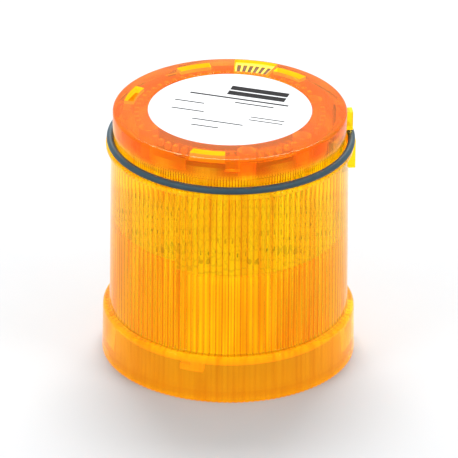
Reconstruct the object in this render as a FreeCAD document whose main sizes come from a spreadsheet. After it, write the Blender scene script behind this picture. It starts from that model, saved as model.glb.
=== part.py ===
import FreeCAD, Part
import math
import os
import Sketcher

# One optical element of a modular signal tower: an amber flashing light, 70 mm in diameter.
# Origin: centre of the collar's lower rim.  +Z points up the tower, and -Y is the front.

# Driving dimensions in millimetres, degrees and counts, with what each one is.
SIZES = {
    # the moulded lens housing
    "collar_step": (2.1, "how far the collar's lower rim stands out of the lens"),
    "collar_draft": (0.23, "how much narrower the collar is at its top"),
    "collar_height": (13.45, "height of the collar's outside"),
    "shoulder_rise": (0.5, "height of the sloping junction above the collar"),
    "shoulder_fillet": (0.9, "rounding of the collar's upper edge"),
    "body_radius": (32.9, "outer radius of the lens at its foot"),
    "body_draft": (0.25, "how much narrower the lens is at its top"),
    "wall": (2.2, "wall of the lens and of the neck"),
    "pitch": (62.6, "stacking pitch, which is the height of the flange's upper face"),
    "flange_thickness": (1.4, "thickness of the flange under the seal"),
    "flange_step": (0.96, "how far the flange stands out of the lens"),
    "flange_fillet": (0.45, "rounding of the flange's rim"),
    "neck_step": (1.3, "how far the neck stands back from the lens"),
    "neck_rim_step": (0.4, "how far the neck widens above the seal"),
    "neck_height": (9.7, "height of the neck above the flange"),
    "neck_ramp": (3.6, "height of the seal's seat on the neck"),
    "rim_fillet": (0.8, "rounding of the neck's upper edge"),
    "top_wall": (2.0, "thickness of the top face"),
    "flute_count": (120, "vertical flutes on the inside of the lens"),
    "flute_depth": (0.35, "depth of a flute"),
    "flute_width": (1.3, "width of a flute"),
    "tooth_count": (144, "serrations of the collar's lower rim"),
    "tooth_depth": (0.3, "depth of a serration"),
    "tooth_width": (0.8, "width of a serration"),
    # the joint with the next module
    "socket_clearance": (0.35, "radial gap between a neck and the collar around it"),
    "socket_gap": (0.6, "height between a neck's top and the base plate above it"),
    "seal_section": (2.0, "thickness of the seal ring's cord"),
    "seal_slack": (0.35, "radial gap between the loose seal ring and the neck"),
    "seal_offset": (0.3, "how far the loose seal ring lies off centre"),
    "seal_squeeze": (0.25, "radial squeeze of the seal in a collar"),
    "land_ramp": (1.5, "height of the ramp above the seal land"),
    "lock_turn": (8.0, "turn that locks two modules"),
    "key_angle": (7.0, "direction of the alignment key, from +X toward +Y"),
    "key_sweep": (5.5, "angular width of the key and of the mark below it"),
    "key_step": (1.75, "how far the key stands out of the neck"),
    "key_height": (5.3, "height of the key"),
    "key_clearance": (0.35, "gap around the key in its keyway"),
    "mark_step": (1.7, "how far the mark under the flange stands out of the lens"),
    "mark_height": (7.9, "height of the mark under the flange"),
    "window_inset": (0.2, "gap between the bayonet windows and the neck's bore"),
    "window_width": (2.6, "radial width of the bayonet windows"),
    "window_sweep": (19.0, "angular length of a bayonet window"),
    "hook_sweep": (7.0, "angular width of a bayonet hook's shank"),
    "hook_reach": (6.0, "angular reach of a hook's foot beyond its shank"),
    "hook_inset": (1.0, "angle between a locked hook's shank and its window's end"),
    "hook_foot": (1.6, "thickness of a hook's foot"),
    "hook_clearance": (0.2, "gap between a hook and its window"),
    # the label
    "label_margin": (7.0, "radial distance between the label and the neck's bore"),
    "label_thickness": (0.15, "thickness of the label"),
    "label_recess": (0.45, "depth of the label's recess"),
    "label_clearance": (0.2, "gap around the label in its recess"),
    # base plate and carrier
    "fit_gap": (0.3, "general clearance between pieces"),
    "plate_thickness": (2.0, "thickness of the base plate"),
    "carrier_wall": (1.5, "wall of the inner carrier"),
    "carrier_step": (2.4, "extra height of the carrier's raised side"),
    "ledge_height": (4.0, "height of the main board's seat above the base plate"),
    "ledge_width": (2.0, "radial width of that seat"),
    "boss_radius": (2.5, "radius of the screw bosses"),
    "screw_shank": (1.1, "radius of a screw's shank"),
    "screw_head": (2.0, "radius of a screw's head"),
    "screw_head_height": (1.3, "height of a screw's head"),
    "screw_gap": (0.05, "radial gap around a screw's shank"),
    "screw_bite": (3.0, "depth of a screw in its boss"),
    # boards and light
    "board_thickness": (1.6, "thickness of both circuit boards"),
    "board_spacing": (16.5, "gap between the two boards"),
    "spacer_inset": (7.85, "distance of the spacers from the boards' edge"),
    "spacer_radius": (2.2, "radius of a spacer"),
    "led_count": (12, "lamps in the outer ring"),
    "led_inset": (4.05, "distance of the outer ring of lamps from the board's edge"),
    "inner_led_count": (6, "lamps in the inner ring"),
    "inner_led_circle": (11.0, "circle of the inner ring of lamps"),
    "led_length": (3.5, "length of a lamp's package"),
    "led_width": (2.8, "width of a lamp's package"),
    "led_height": (1.4, "height of a lamp's package"),
    "dome_radius": (1.2, "radius of a lamp's lens"),
    "cone_depth": (18.8, "depth of the reflector below its bosses"),
    "cone_tip_radius": (3.0, "radius of the reflector's tip"),
    "cone_wall": (1.2, "wall of the reflector"),
    "cone_rim": (1.5, "thickness of the reflector's rim"),
    "cone_rim_width": (2.7, "distance from the cone's edge to its screws"),
    "cone_boss_length": (6.5, "length of the bosses that carry the reflector"),
    "cone_boss_inset": (2.4, "distance of the reflector's bosses inside the windows"),
    # contacts
    "contact_count": (6, "contacts through the module"),
    "contact_angle": (76.5, "direction of the contact row"),
    "contact_pitch": (3.4, "angle between neighbouring contacts"),
    "contact_sweep": (1.9, "angular width of a contact strip"),
    "contact_inset": (2.0, "distance of the sprung contact pins from their strips"),
    "strip_gap": (0.4, "gap between a strip's upright leg and the neck's bore"),
    "strip_thickness": (0.4, "thickness of a contact strip"),
    "strip_inset": (0.8, "depth of a strip's upper face below the module's top"),
    "pad_length": (4.2, "length of a strip's upper leg"),
    "guide_wall": (0.6, "wall of the contact guide beyond the strips' ends"),
    "guide_lip": (1.5, "how far the contact guide's lip reaches over the neck's wall"),
    "guide_height": (5.0, "height of the contact guide"),
    "guide_groove": (0.35, "angular gap beside a strip in its groove"),
    "guide_margin": (1.2, "angle of solid guide beyond the end strips"),
    "slot_margin": (2.0, "angle by which a slot is wider than the contact block on each side"),
    "right_window_land": (2.35, "angle between the contact row and the window on its right"),
    "rear_window_land": (14.35, "angle between the contact row and the window behind it"),
    "block_wall": (3.0, "distance from the contact pins to the block's inner side"),
    "block_height": (5.0, "height of the contact block"),
    "block_floor": (0.8, "floor of a contact pin's bore"),
    "pin_radius": (0.5, "radius of a contact pin"),
    "pin_flange": (0.64, "radius of a contact pin's flange"),
    "pin_flange_height": (0.6, "height of that flange"),
    "pin_gap": (0.05, "radial running gap of a contact pin"),
    "pin_reach": (2.6, "how far a free contact pin stands out of the base plate"),
    "spring_radius": (0.5, "mean radius of a contact spring"),
    "spring_wire": (0.08, "radius of the spring's wire"),
    "spring_turns": (6, "turns of a contact spring"),
    "side_strip_angle": (7.0, "direction of the side contact strip"),
    "side_strip_drop": (8.2, "distance from the flange to where the side strip narrows"),
    "side_strip_sweep": (7.0, "angular width of the side strip"),
    "side_tail_sweep": (2.2, "angular width of the side strip's tail"),
    # the parts on the two boards
    "raised_start": (130.0, "direction where the carrier's raised side starts"),
    "raised_sweep": (110.0, "angular width of the carrier's raised side"),
    "capacitor_radius": (4.0, "radius of the smoothing capacitor"),
    "capacitor_height": (10.5, "height of the smoothing capacitor"),
    "capacitor_circle": (13.5, "distance of the smoothing capacitor from the axis"),
    "capacitor_angle": (-65.0, "direction of the smoothing capacitor"),
    "choke_radius": (3.6, "radius of the supply choke"),
    "choke_height": (5.0, "height of the supply choke"),
    "choke_circle": (13.0, "distance of the supply choke from the axis"),
    "choke_angle": (110.0, "direction of the supply choke"),
    "flasher_chip_length": (8.7, "length of the flasher chip's case"),
    "flasher_chip_width": (3.9, "width of the flasher chip's case"),
    "flasher_chip_height": (1.6, "height of the flasher chip"),
    "flasher_chip_circle": (3.0, "distance of the flasher chip from the axis"),
    "flasher_chip_angle": (0.0, "direction of the flasher chip"),
    "lamp_driver_length": (6.5, "length of the lamp driver's case"),
    "lamp_driver_width": (6.1, "width of the lamp driver's case"),
    "lamp_driver_height": (2.3, "height of the lamp driver"),
    "lamp_driver_circle": (12.0, "distance of the lamp driver from the axis"),
    "lamp_driver_angle": (180.0, "direction of the lamp driver"),
    "bridge_rectifier_length": (6.4, "length of the bridge rectifier's case"),
    "bridge_rectifier_width": (5.0, "width of the bridge rectifier's case"),
    "bridge_rectifier_height": (2.6, "height of the bridge rectifier"),
    "bridge_rectifier_circle": (13.0, "distance of the bridge rectifier from the axis"),
    "bridge_rectifier_angle": (60.0, "direction of the bridge rectifier"),
    "surge_diode_length": (4.6, "length of the surge diode's case"),
    "surge_diode_width": (3.6, "width of the surge diode's case"),
    "surge_diode_height": (2.3, "height of the surge diode"),
    "surge_diode_circle": (14.0, "distance of the surge diode from the axis"),
    "surge_diode_angle": (15.0, "direction of the surge diode"),
    "case_standoff": (0.1, "gap between a case and its board"),
    "leg_width": (0.4, "width of a component's leg"),
    "leg_length": (1.2, "length of a component's leg"),
    "leg_offset": (0.4, "distance of a leg's middle from its case's side"),
    "ceramic_count": (4, "ceramic capacitors"),
    "ceramic_length": (2.0, "length of a ceramic capacitor"),
    "ceramic_width": (1.25, "width of a ceramic capacitor"),
    "ceramic_height": (1.2, "height of a ceramic capacitor"),
    "ceramic_circle": (8.5, "distance of the ceramic capacitors from the axis"),
    "ceramic_start": (215.0, "direction of the first ceramic capacitor"),
    "ceramic_pitch": (24.0, "angle between neighbouring ceramic capacitors"),
    "resistor_count": (8, "resistors on the main board"),
    "resistor_length": (3.2, "length of a resistor"),
    "resistor_width": (1.6, "width of a resistor"),
    "resistor_height": (0.6, "height of a resistor"),
    "resistor_circle": (17.5, "distance of the resistors from the axis"),
    "resistor_start": (150.0, "direction of the first resistor"),
    "resistor_pitch": (9.0, "angle between neighbouring resistors"),
    "lamp_resistor_length": (1.6, "length of a lamp's resistor"),
    "lamp_resistor_width": (0.8, "width of a lamp's resistor"),
    "lamp_resistor_height": (0.5, "height of a lamp's resistor"),
    "lamp_resistor_circle": (17.0, "distance of the lamps' resistors from the axis"),
    "lamp_resistor_start": (9.0, "direction of the first lamp's resistor"),
    "link_circle": (20.5, "distance of the board link from the axis"),
    "link_depth": (2.5, "depth and height of the link's base"),
    "link_width": (12.6, "width of the link's base"),
    "link_count": (5, "pins of the board link"),
    "link_pitch": (2.54, "distance between neighbouring link pins"),
    "link_pin": (0.64, "thickness of a link pin"),
}

# Directions, from +X toward +Y, of what is placed unevenly so that modules fit only one way round.
CONE_BOSS_ANGLES = {"right": 20, "front_right": -36, "front": -79, "left": -156}
BASE_BOSS_ANGLES = {"right": 27, "left": 176, "front": -85}
SPACER_ANGLES = {"first": 45, "second": 135, "third": -135, "fourth": -45}

doc = FreeCAD.newDocument("SignalElement")
sheet = doc.addObject("Spreadsheet::Sheet", "dim")
for row, name in enumerate(SIZES, start=1):
    number, meaning = SIZES[name]
    sheet.set(f"A{row}", name)
    sheet.set(f"B{row}", str(number))
    sheet.set(f"C{row}", meaning)
    sheet.setAlias(f"B{row}", name)
doc.recompute()

# Heights and radii that several pieces share, as expressions on the sheet.
OVERALL = "(dim.pitch + dim.neck_height)"
COLLAR_RADIUS = "(dim.body_radius + dim.collar_step)"
FLANGE_RADIUS = "(dim.body_radius + dim.flange_step)"
MARK_RADIUS = "(dim.body_radius + dim.mark_step)"
NECK_RADIUS = "(dim.body_radius - dim.neck_step)"
RIM_RADIUS = f"({NECK_RADIUS} + dim.neck_rim_step)"
KEY_RADIUS = f"({RIM_RADIUS} + dim.key_step)"
SEAL_BORE = f"({NECK_RADIUS} + dim.seal_slack)"
CEILING = f"({OVERALL} - dim.top_wall)"
FLANGE_FLOOR = "(dim.pitch - dim.flange_thickness)"
BODY_TOP = "(dim.body_radius - dim.body_draft)"
SOCKET_RADIUS = f"({RIM_RADIUS} + dim.socket_clearance)"
LAND_RADIUS = f"({SEAL_BORE} + dim.seal_section - dim.seal_squeeze)"
PLATE_FLOOR = "(dim.neck_height + dim.socket_gap)"
PLATE_TOP = f"({PLATE_FLOOR} + dim.plate_thickness)"
NECK_BORE = f"({NECK_RADIUS} - dim.wall)"
BODY_BORE = "(dim.body_radius - dim.wall)"
BODY_BORE_TOP = f"({BODY_TOP} - dim.wall)"
WINDOW_RADIUS = f"({NECK_BORE} - dim.window_inset - dim.window_width)"
CONE_BOSS_CIRCLE = f"({WINDOW_RADIUS} - dim.cone_boss_inset)"
CONE_RADIUS = f"({CONE_BOSS_CIRCLE} - dim.cone_rim_width)"
LABEL_RADIUS = f"({NECK_BORE} - dim.label_margin)"
STRIP_RADIUS = f"({NECK_BORE} - dim.strip_gap - dim.strip_thickness)"
CONTACT_CIRCLE = f"({STRIP_RADIUS} - dim.contact_inset)"
PAD_RADIUS = f"({STRIP_RADIUS} - dim.pad_length)"
GUIDE_INNER = f"({PAD_RADIUS} - dim.guide_wall)"
GUIDE_OUTER = f"({NECK_BORE} + dim.guide_lip)"
BLOCK_INNER = f"({CONTACT_CIRCLE} - dim.block_wall)"
CARRIER_RADIUS = f"({BODY_BORE_TOP} - dim.fit_gap)"
CARRIER_BORE = f"({CARRIER_RADIUS} - dim.carrier_wall)"
LEDGE_RADIUS = f"({CARRIER_BORE} - dim.ledge_width)"
BASE_BOSS_CIRCLE = f"({LEDGE_RADIUS} - dim.boss_radius / 2)"
BOARD_RADIUS = f"({CARRIER_BORE} - dim.fit_gap)"
SPACER_CIRCLE = f"({BOARD_RADIUS} - dim.spacer_inset)"
LED_CIRCLE = f"({BOARD_RADIUS} - dim.led_inset)"
MAIN_BOARD = f"({PLATE_TOP} + dim.ledge_height)"
MAIN_BOARD_TOP = f"({MAIN_BOARD} + dim.board_thickness)"
LED_BOARD = f"({MAIN_BOARD_TOP} + dim.board_spacing)"
LED_BOARD_TOP = f"({LED_BOARD} + dim.board_thickness)"
CONE_BOSS_FOOT = f"({CEILING} - dim.cone_boss_length)"
CONE_TIP = f"({CONE_BOSS_FOOT} - dim.cone_depth)"
SIDE_STRIP_FOOT = f"({FLANGE_FLOOR} - dim.side_strip_drop)"
STRIP_TOP = f"({OVERALL} - dim.strip_inset)"
ROW_HALF = "((dim.contact_count - 1) / 2 * dim.contact_pitch + dim.contact_sweep / 2)"
ROW_START = f"(dim.contact_angle - {ROW_HALF} - dim.guide_margin)"
ROW_SWEEP = f"(2 * {ROW_HALF} + 2 * dim.guide_margin)"
DEGREES = "(180 / pi)"
ROW_GAP = f"(dim.fit_gap / {GUIDE_OUTER} * {DEGREES})"
BLOCK_TOP = f"({PLATE_FLOOR} + dim.block_height)"

WINDOW_ANGLES = {
    "right": f"({ROW_START} - dim.right_window_land - dim.window_sweep / 2)",
    "rear": f"({ROW_START} + {ROW_SWEEP} + dim.rear_window_land + dim.window_sweep / 2)",
    "left": "162",
    "front": "258",
}

sub_parts = []


def value(expression):
    """Number that an expression on the sheet stands for now."""
    return float(sheet.evalExpression(str(expression)))


def keep(piece, label):
    """Names a finished sub-part and puts it on the list of what is written."""
    piece.Label = label
    sub_parts.append(piece)
    return piece


# --- PartDesign helpers -------------------------------------------------------------------------


def new_body(label):
    """An empty body, already on the list of sub-parts."""
    return keep(doc.addObject("PartDesign::Body", label + "_body"), label)


def attach(sketch, body, role, lift="0", turn="0"):
    """Puts a sketch on one of its body's origin planes, lifted and turned about Z."""
    plane = next(feature for feature in body.Origin.OriginFeatures if feature.Role == role)
    about = FreeCAD.Vector(0, 0, 1) if role == "XY_Plane" else FreeCAD.Vector(0, 1, 0)
    sketch.AttachmentSupport = [(plane, "")]
    sketch.MapMode = "FlatFace"
    rotation = FreeCAD.Rotation(about, value(turn))
    sketch.AttachmentOffset = FreeCAD.Placement(FreeCAD.Vector(0, 0, value(lift)), rotation)
    if role == "XY_Plane":
        sketch.setExpression("AttachmentOffset.Base.z", lift)
    if abs(value(turn)) > 0:
        sketch.setExpression("AttachmentOffset.Rotation.Angle", str(turn))


def pin_down(sketch, geometry, point, expressions):
    """Dimensions a sketch point from the origin, along each axis, by its two expressions."""
    for kind, axis, expression in zip(("DistanceX", "DistanceY"), (-2, -1), expressions):
        distance = value(expression)
        if abs(distance) < 1e-9:
            sketch.addConstraint(Sketcher.Constraint("PointOnObject", geometry, point, axis))
            continue
        ends = (-1, 1, geometry, point) if distance > 0 else (geometry, point, -1, 1)
        number = sketch.addConstraint(Sketcher.Constraint(kind, *ends, abs(distance)))
        sign = "" if distance > 0 else "-"
        sketch.setExpression(f"Constraints[{number}]", f"{sign}({expression})")


def outline(body, name, role, corners, lift="0", turn="0"):
    """A closed sketch of straight sides through corners, each a pair of expressions."""
    sketch = body.newObject("Sketcher::SketchObject", name)
    attach(sketch, body, role, lift, turn)
    spots = [FreeCAD.Vector(value(a), value(b), 0) for a, b in corners]
    count = len(spots)
    for index in range(count):
        side = Part.LineSegment(spots[index], spots[(index + 1) % count])
        sketch.addGeometry(side, False)
    for index in range(count):
        following = (index + 1) % count
        sketch.addConstraint(Sketcher.Constraint("Coincident", index, 2, following, 1))
    for index, corner in enumerate(corners):
        pin_down(sketch, index, 1, corner)
    return sketch


def turned(body, name, corners, start="0", sweep="360", cut=False):
    """Turns an outline of (radius, height) corners about Z, to add to a body or to cut it."""
    sketch = outline(body, name + "_sketch", "XZ_Plane", corners, turn=start)
    kind = "PartDesign::Groove" if cut else "PartDesign::Revolution"
    feature = body.newObject(kind, name)
    feature.Profile = sketch
    feature.ReferenceAxis = (sketch, ["V_Axis"])
    feature.Reversed = False
    feature.setExpression("Angle", str(sweep))
    sketch.Visibility = False
    return feature


def sector(body, name, radii, heights, start, sweep, cut=False):
    """An annular block between two radii, two heights and two directions."""
    (inner, outer), (low, high) = radii, heights
    corners = [(inner, low), (outer, low), (outer, high), (inner, high)]
    return turned(body, name, corners, start, sweep, cut)


def post(body, name, radius, circle, angle, low, high, cut=False):
    """A round post, or a round hole, standing on a circle about Z."""
    sketch = body.newObject("Sketcher::SketchObject", name + "_sketch")
    attach(sketch, body, "XY_Plane", low, angle)
    centre = FreeCAD.Vector(value(circle), 0, 0)
    sketch.addGeometry(Part.Circle(centre, FreeCAD.Vector(0, 0, 1), value(radius)), False)
    number = sketch.addConstraint(Sketcher.Constraint("Radius", 0, value(radius)))
    sketch.setExpression(f"Constraints[{number}]", radius)
    pin_down(sketch, 0, 3, (circle, "0"))
    feature = body.newObject("PartDesign::Pocket" if cut else "PartDesign::Pad", name)
    feature.Profile = sketch
    feature.Reversed = cut
    feature.setExpression("Length", f"({high}) - ({low})")
    sketch.Visibility = False
    return feature


def ring_pattern(body, feature, name, count):
    """Repeats a feature evenly about Z."""
    pattern = body.newObject("PartDesign::PolarPattern", name)
    pattern.Originals = [feature]
    pattern.Axis = (feature.Profile[0], ["N_Axis"])
    pattern.Angle = 360
    pattern.setExpression("Occurrences", count)
    body.Tip = pattern
    return pattern


def circle_edges(shape, radius, height):
    """Names of a shape's full circles about Z at one radius and height."""
    names = []
    for index, edge in enumerate(shape.Edges, start=1):
        curve = edge.Curve
        if not isinstance(curve, Part.Circle):
            continue
        centred = math.hypot(curve.Center.x, curve.Center.y) < 1e-4
        placed = abs(curve.Center.z - height) < 1e-4 and abs(curve.Radius - radius) < 1e-4
        if centred and placed:
            names.append(f"Edge{index}")
    return names


def rounded(body, name, places, radius):
    """Fillets a body's circular edges, each given by the expressions of its radius and height."""
    doc.recompute()
    base = body.Tip
    names = []
    for edge_radius, edge_height in places:
        names += circle_edges(base.Shape, value(edge_radius), value(edge_height))
    if len(names) != len(places):
        raise ValueError(f"{name}: found {len(names)} of {len(places)} edges")
    fillet = body.newObject("PartDesign::Fillet", name)
    fillet.Base = (base, names)
    fillet.setExpression("Radius", radius)
    return fillet


# --- Part helpers -------------------------------------------------------------------------------


def set_place(piece, x, y, z, turn="0"):
    """Places a primitive by expressions, turned about Z."""
    piece.Placement = FreeCAD.Placement(
        FreeCAD.Vector(value(x), value(y), value(z)),
        FreeCAD.Rotation(FreeCAD.Vector(0, 0, 1), value(turn)),
    )
    for axis, expression in (("x", x), ("y", y), ("z", z)):
        piece.setExpression(f"Placement.Base.{axis}", str(expression))
    if abs(value(turn)) > 0:
        piece.setExpression("Placement.Rotation.Angle", str(turn))


def cylinder(name, radius, low, high, circle="0", angle="0"):
    """An upright cylinder on a circle about Z."""
    piece = doc.addObject("Part::Cylinder", name)
    piece.setExpression("Radius", str(radius))
    piece.setExpression("Height", f"({high}) - ({low})")
    set_place(piece, f"({circle}) * cos({angle})", f"({circle}) * sin({angle})", low)
    return piece


def brick(name, length, width, low, high, circle="0", angle="0", across="0"):
    """A block whose length points away from Z, centred on a circle; across shifts it sideways."""
    piece = doc.addObject("Part::Box", name)
    piece.setExpression("Length", str(length))
    piece.setExpression("Width", str(width))
    piece.setExpression("Height", f"({high}) - ({low})")
    near = f"({circle} - ({length}) / 2)"
    side = f"(({across}) - ({width}) / 2)"
    x = f"{near} * cos({angle}) - {side} * sin({angle})"
    y = f"{near} * sin({angle}) + {side} * cos({angle})"
    set_place(piece, x, y, low, angle)
    return piece


def ball(name, radius, height, circle, angle):
    """A sphere on a circle about Z."""
    piece = doc.addObject("Part::Sphere", name)
    piece.setExpression("Radius", radius)
    set_place(piece, f"({circle}) * cos({angle})", f"({circle}) * sin({angle})", height)
    return piece


def fused(name, pieces):
    """One solid made of overlapping primitives."""
    union = doc.addObject("Part::MultiFuse", name)
    union.Shapes = pieces
    return union


def cut_from(name, base, tool):
    """A primitive with another one taken out of it."""
    difference = doc.addObject("Part::Cut", name)
    difference.Base = base
    difference.Tool = tool
    return difference


def group(label, pieces):
    """A node of several separate solids."""
    compound = doc.addObject("Part::Compound", label + "_group")
    compound.Links = pieces
    return keep(compound, label)


def screw(name, circle, angle, head_low, head_high, tip):
    """A screw with its head between two heights and its shank running on to the tip."""
    head = cylinder(name + "_head", "dim.screw_head", head_low, head_high, circle, angle)
    points_down = value(tip) < value(head_low)
    low, high = (tip, head_low) if points_down else (head_high, tip)
    shank = cylinder(name + "_shank", "dim.screw_shank", low, high, circle, angle)
    return fused(name, [head, shank])


# --- The lens housing ---------------------------------------------------------------------------


def lens_housing():
    """The amber moulding: collar, fluted lens, flange, neck and top face in one piece."""
    body = new_body("lens_housing")
    collar_top = f"({COLLAR_RADIUS} - dim.collar_draft)"
    body_foot = "(dim.collar_height + dim.shoulder_rise)"
    seal_seat = "(dim.pitch + dim.neck_ramp)"
    rim_start = f"({seal_seat} + {RIM_RADIUS} - {NECK_RADIUS})"
    recess_radius = f"({LABEL_RADIUS} + dim.label_clearance)"
    recess_floor = f"({OVERALL} - dim.label_recess)"
    land_top = "dim.seal_section"
    throat = f"({FLANGE_FLOOR} - {BODY_BORE_TOP} + {NECK_BORE})"
    outside = [
        (LAND_RADIUS, "0"),
        (COLLAR_RADIUS, "0"),
        (collar_top, "dim.collar_height"),
        ("dim.body_radius", body_foot),
        (BODY_TOP, FLANGE_FLOOR),
        (FLANGE_RADIUS, FLANGE_FLOOR),
        (FLANGE_RADIUS, "dim.pitch"),
        (NECK_RADIUS, "dim.pitch"),
        (NECK_RADIUS, seal_seat),
        (RIM_RADIUS, rim_start),
        (RIM_RADIUS, OVERALL),
        (recess_radius, OVERALL),
        (recess_radius, recess_floor),
        ("0", recess_floor),
    ]
    inside = [
        ("0", CEILING),
        (NECK_BORE, CEILING),
        (NECK_BORE, FLANGE_FLOOR),
        (BODY_BORE_TOP, throat),
        (BODY_BORE, PLATE_TOP),
        (SOCKET_RADIUS, PLATE_TOP),
        (SOCKET_RADIUS, f"({land_top} + dim.land_ramp)"),
        (LAND_RADIUS, land_top),
    ]
    turned(body, "shell", outside + inside)
    rounded(body, "collar_shoulder", [(collar_top, "dim.collar_height")], "dim.shoulder_fillet")
    flange_edges = [(FLANGE_RADIUS, FLANGE_FLOOR), (FLANGE_RADIUS, "dim.pitch")]
    rounded(body, "flange_rim", flange_edges, "dim.flange_fillet")
    rounded(body, "neck_rim", [(RIM_RADIUS, OVERALL)], "dim.rim_fillet")
    add_key(body)
    add_keyway(body)
    for place, angle in CONE_BOSS_ANGLES.items():
        name = f"cone_boss_{place}"
        heights = (CONE_BOSS_FOOT, f"({CEILING} + dim.fit_gap)")
        post(body, name, "dim.boss_radius", CONE_BOSS_CIRCLE, angle, *heights)
        bore = "dim.screw_shank + dim.screw_gap"
        depth = f"({CONE_BOSS_FOOT} + dim.screw_bite + dim.fit_gap)"
        post(body, name + "_bore", bore, CONE_BOSS_CIRCLE, angle, CONE_BOSS_FOOT, depth, True)
    cut_windows(body)
    add_flutes(body, throat)
    add_teeth(body)


def add_key(body):
    """The alignment key on the neck and the mark under the flange."""
    start = "(dim.key_angle - dim.key_sweep / 2)"
    root = f"({NECK_RADIUS} - dim.wall / 2)"
    key_floor = "(dim.pitch + dim.seal_section + dim.fit_gap)"
    heights = (key_floor, f"({key_floor} + dim.key_height)")
    sector(body, "neck_key", (root, KEY_RADIUS), heights, start, "dim.key_sweep")
    mark_floor = f"({FLANGE_FLOOR} - dim.mark_height)"
    mark = (mark_floor, f"({FLANGE_FLOOR} + dim.flange_fillet)")
    sector(body, "key_mark", (root, MARK_RADIUS), mark, start, "dim.key_sweep")


def add_keyway(body):
    """The slot in the collar that the key of the module below enters and turns along."""
    gap_angle = f"(dim.key_clearance / {KEY_RADIUS} * {DEGREES})"
    entry = f"(dim.key_angle - dim.key_sweep / 2 - {gap_angle} - dim.lock_turn)"
    width = f"(dim.key_sweep + 2 * {gap_angle})"
    root = f"({SOCKET_RADIUS} - 2 * dim.socket_clearance)"
    radii = (root, f"({KEY_RADIUS} + dim.key_clearance)")
    crown = "(dim.seal_section + dim.fit_gap + dim.key_height + dim.key_clearance)"
    floor = "(dim.seal_section + dim.fit_gap - dim.key_clearance)"
    sector(body, "keyway_entry", radii, ("-dim.key_clearance", crown), entry, width, True)
    sweep = f"({width} + dim.lock_turn)"
    sector(body, "keyway_turn", radii, (floor, crown), entry, sweep, True)


def cut_windows(body):
    """The bayonet windows and the window of the contact guide, through the top face."""
    through = (f"({CEILING} - dim.fit_gap)", f"({OVERALL} + dim.fit_gap)")
    radii = (WINDOW_RADIUS, f"({WINDOW_RADIUS} + dim.window_width)")
    for place, angle in WINDOW_ANGLES.items():
        start = f"({angle} - dim.window_sweep / 2)"
        sector(body, f"window_{place}", radii, through, start, "dim.window_sweep", True)
    radii = (f"({GUIDE_INNER} - dim.fit_gap)", f"({GUIDE_OUTER} + dim.fit_gap / 2)")
    start = f"({ROW_START} - {ROW_GAP})"
    sweep = f"({ROW_SWEEP} + 2 * {ROW_GAP})"
    # the ledge left over the neck's wall carries the guide
    sector(body, "guide_window", radii, (CEILING, through[1]), start, sweep, True)


def add_flutes(body, throat):
    """V-shaped flutes up the inside of the lens."""
    floor = f"({PLATE_TOP} + dim.fit_gap)"
    inner = f"({BODY_BORE_TOP} - dim.flute_depth)"
    depth = f"({BODY_BORE} + dim.flute_depth)"
    corners = [(inner, "-dim.flute_width / 2"), (depth, "0"), (inner, "dim.flute_width / 2")]
    sketch = outline(body, "flute_sketch", "XY_Plane", corners, lift=floor)
    flute = body.newObject("PartDesign::Pocket", "flute")
    flute.Profile = sketch
    flute.Reversed = True
    flute.setExpression("Length", f"{throat} - {floor}")
    sketch.Visibility = False
    ring_pattern(body, flute, "flutes", "dim.flute_count")


def add_teeth(body):
    """Serrations across the outer half of the collar's lower rim."""
    outer = f"({COLLAR_RADIUS} + dim.fit_gap)"
    inner = f"(({LAND_RADIUS} + {COLLAR_RADIUS}) / 2)"
    corners = [
        (inner, "0"),
        (outer, "-dim.tooth_width / 2"),
        (outer, "dim.tooth_width / 2"),
    ]
    sketch = outline(body, "tooth_sketch", "XY_Plane", corners, lift="0")
    tooth = body.newObject("PartDesign::Pocket", "tooth")
    tooth.Profile = sketch
    tooth.Reversed = True
    tooth.setExpression("Length", "dim.tooth_depth")
    sketch.Visibility = False
    ring_pattern(body, tooth, "teeth", "dim.tooth_count")


# --- Outside pieces -----------------------------------------------------------------------------


def seal_ring():
    """The rubber ring that lies on the flange around the neck."""
    ring = doc.addObject("Part::Torus", "seal_ring_torus")
    ring.setExpression("Radius1", f"{SEAL_BORE} + dim.seal_section / 2")
    ring.setExpression("Radius2", "dim.seal_section / 2")
    set_place(ring, "dim.seal_offset", "0", "dim.pitch + dim.seal_section / 2 + dim.screw_gap")
    keep(ring, "seal_ring")


def rating_label():
    """The round label in the top face's recess."""
    floor = f"({OVERALL} - dim.label_recess)"
    keep(cylinder("label_disc", LABEL_RADIUS, floor, f"{floor} + dim.label_thickness"),
         "rating_label")


# --- Base plate and carrier ---------------------------------------------------------------------


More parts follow.
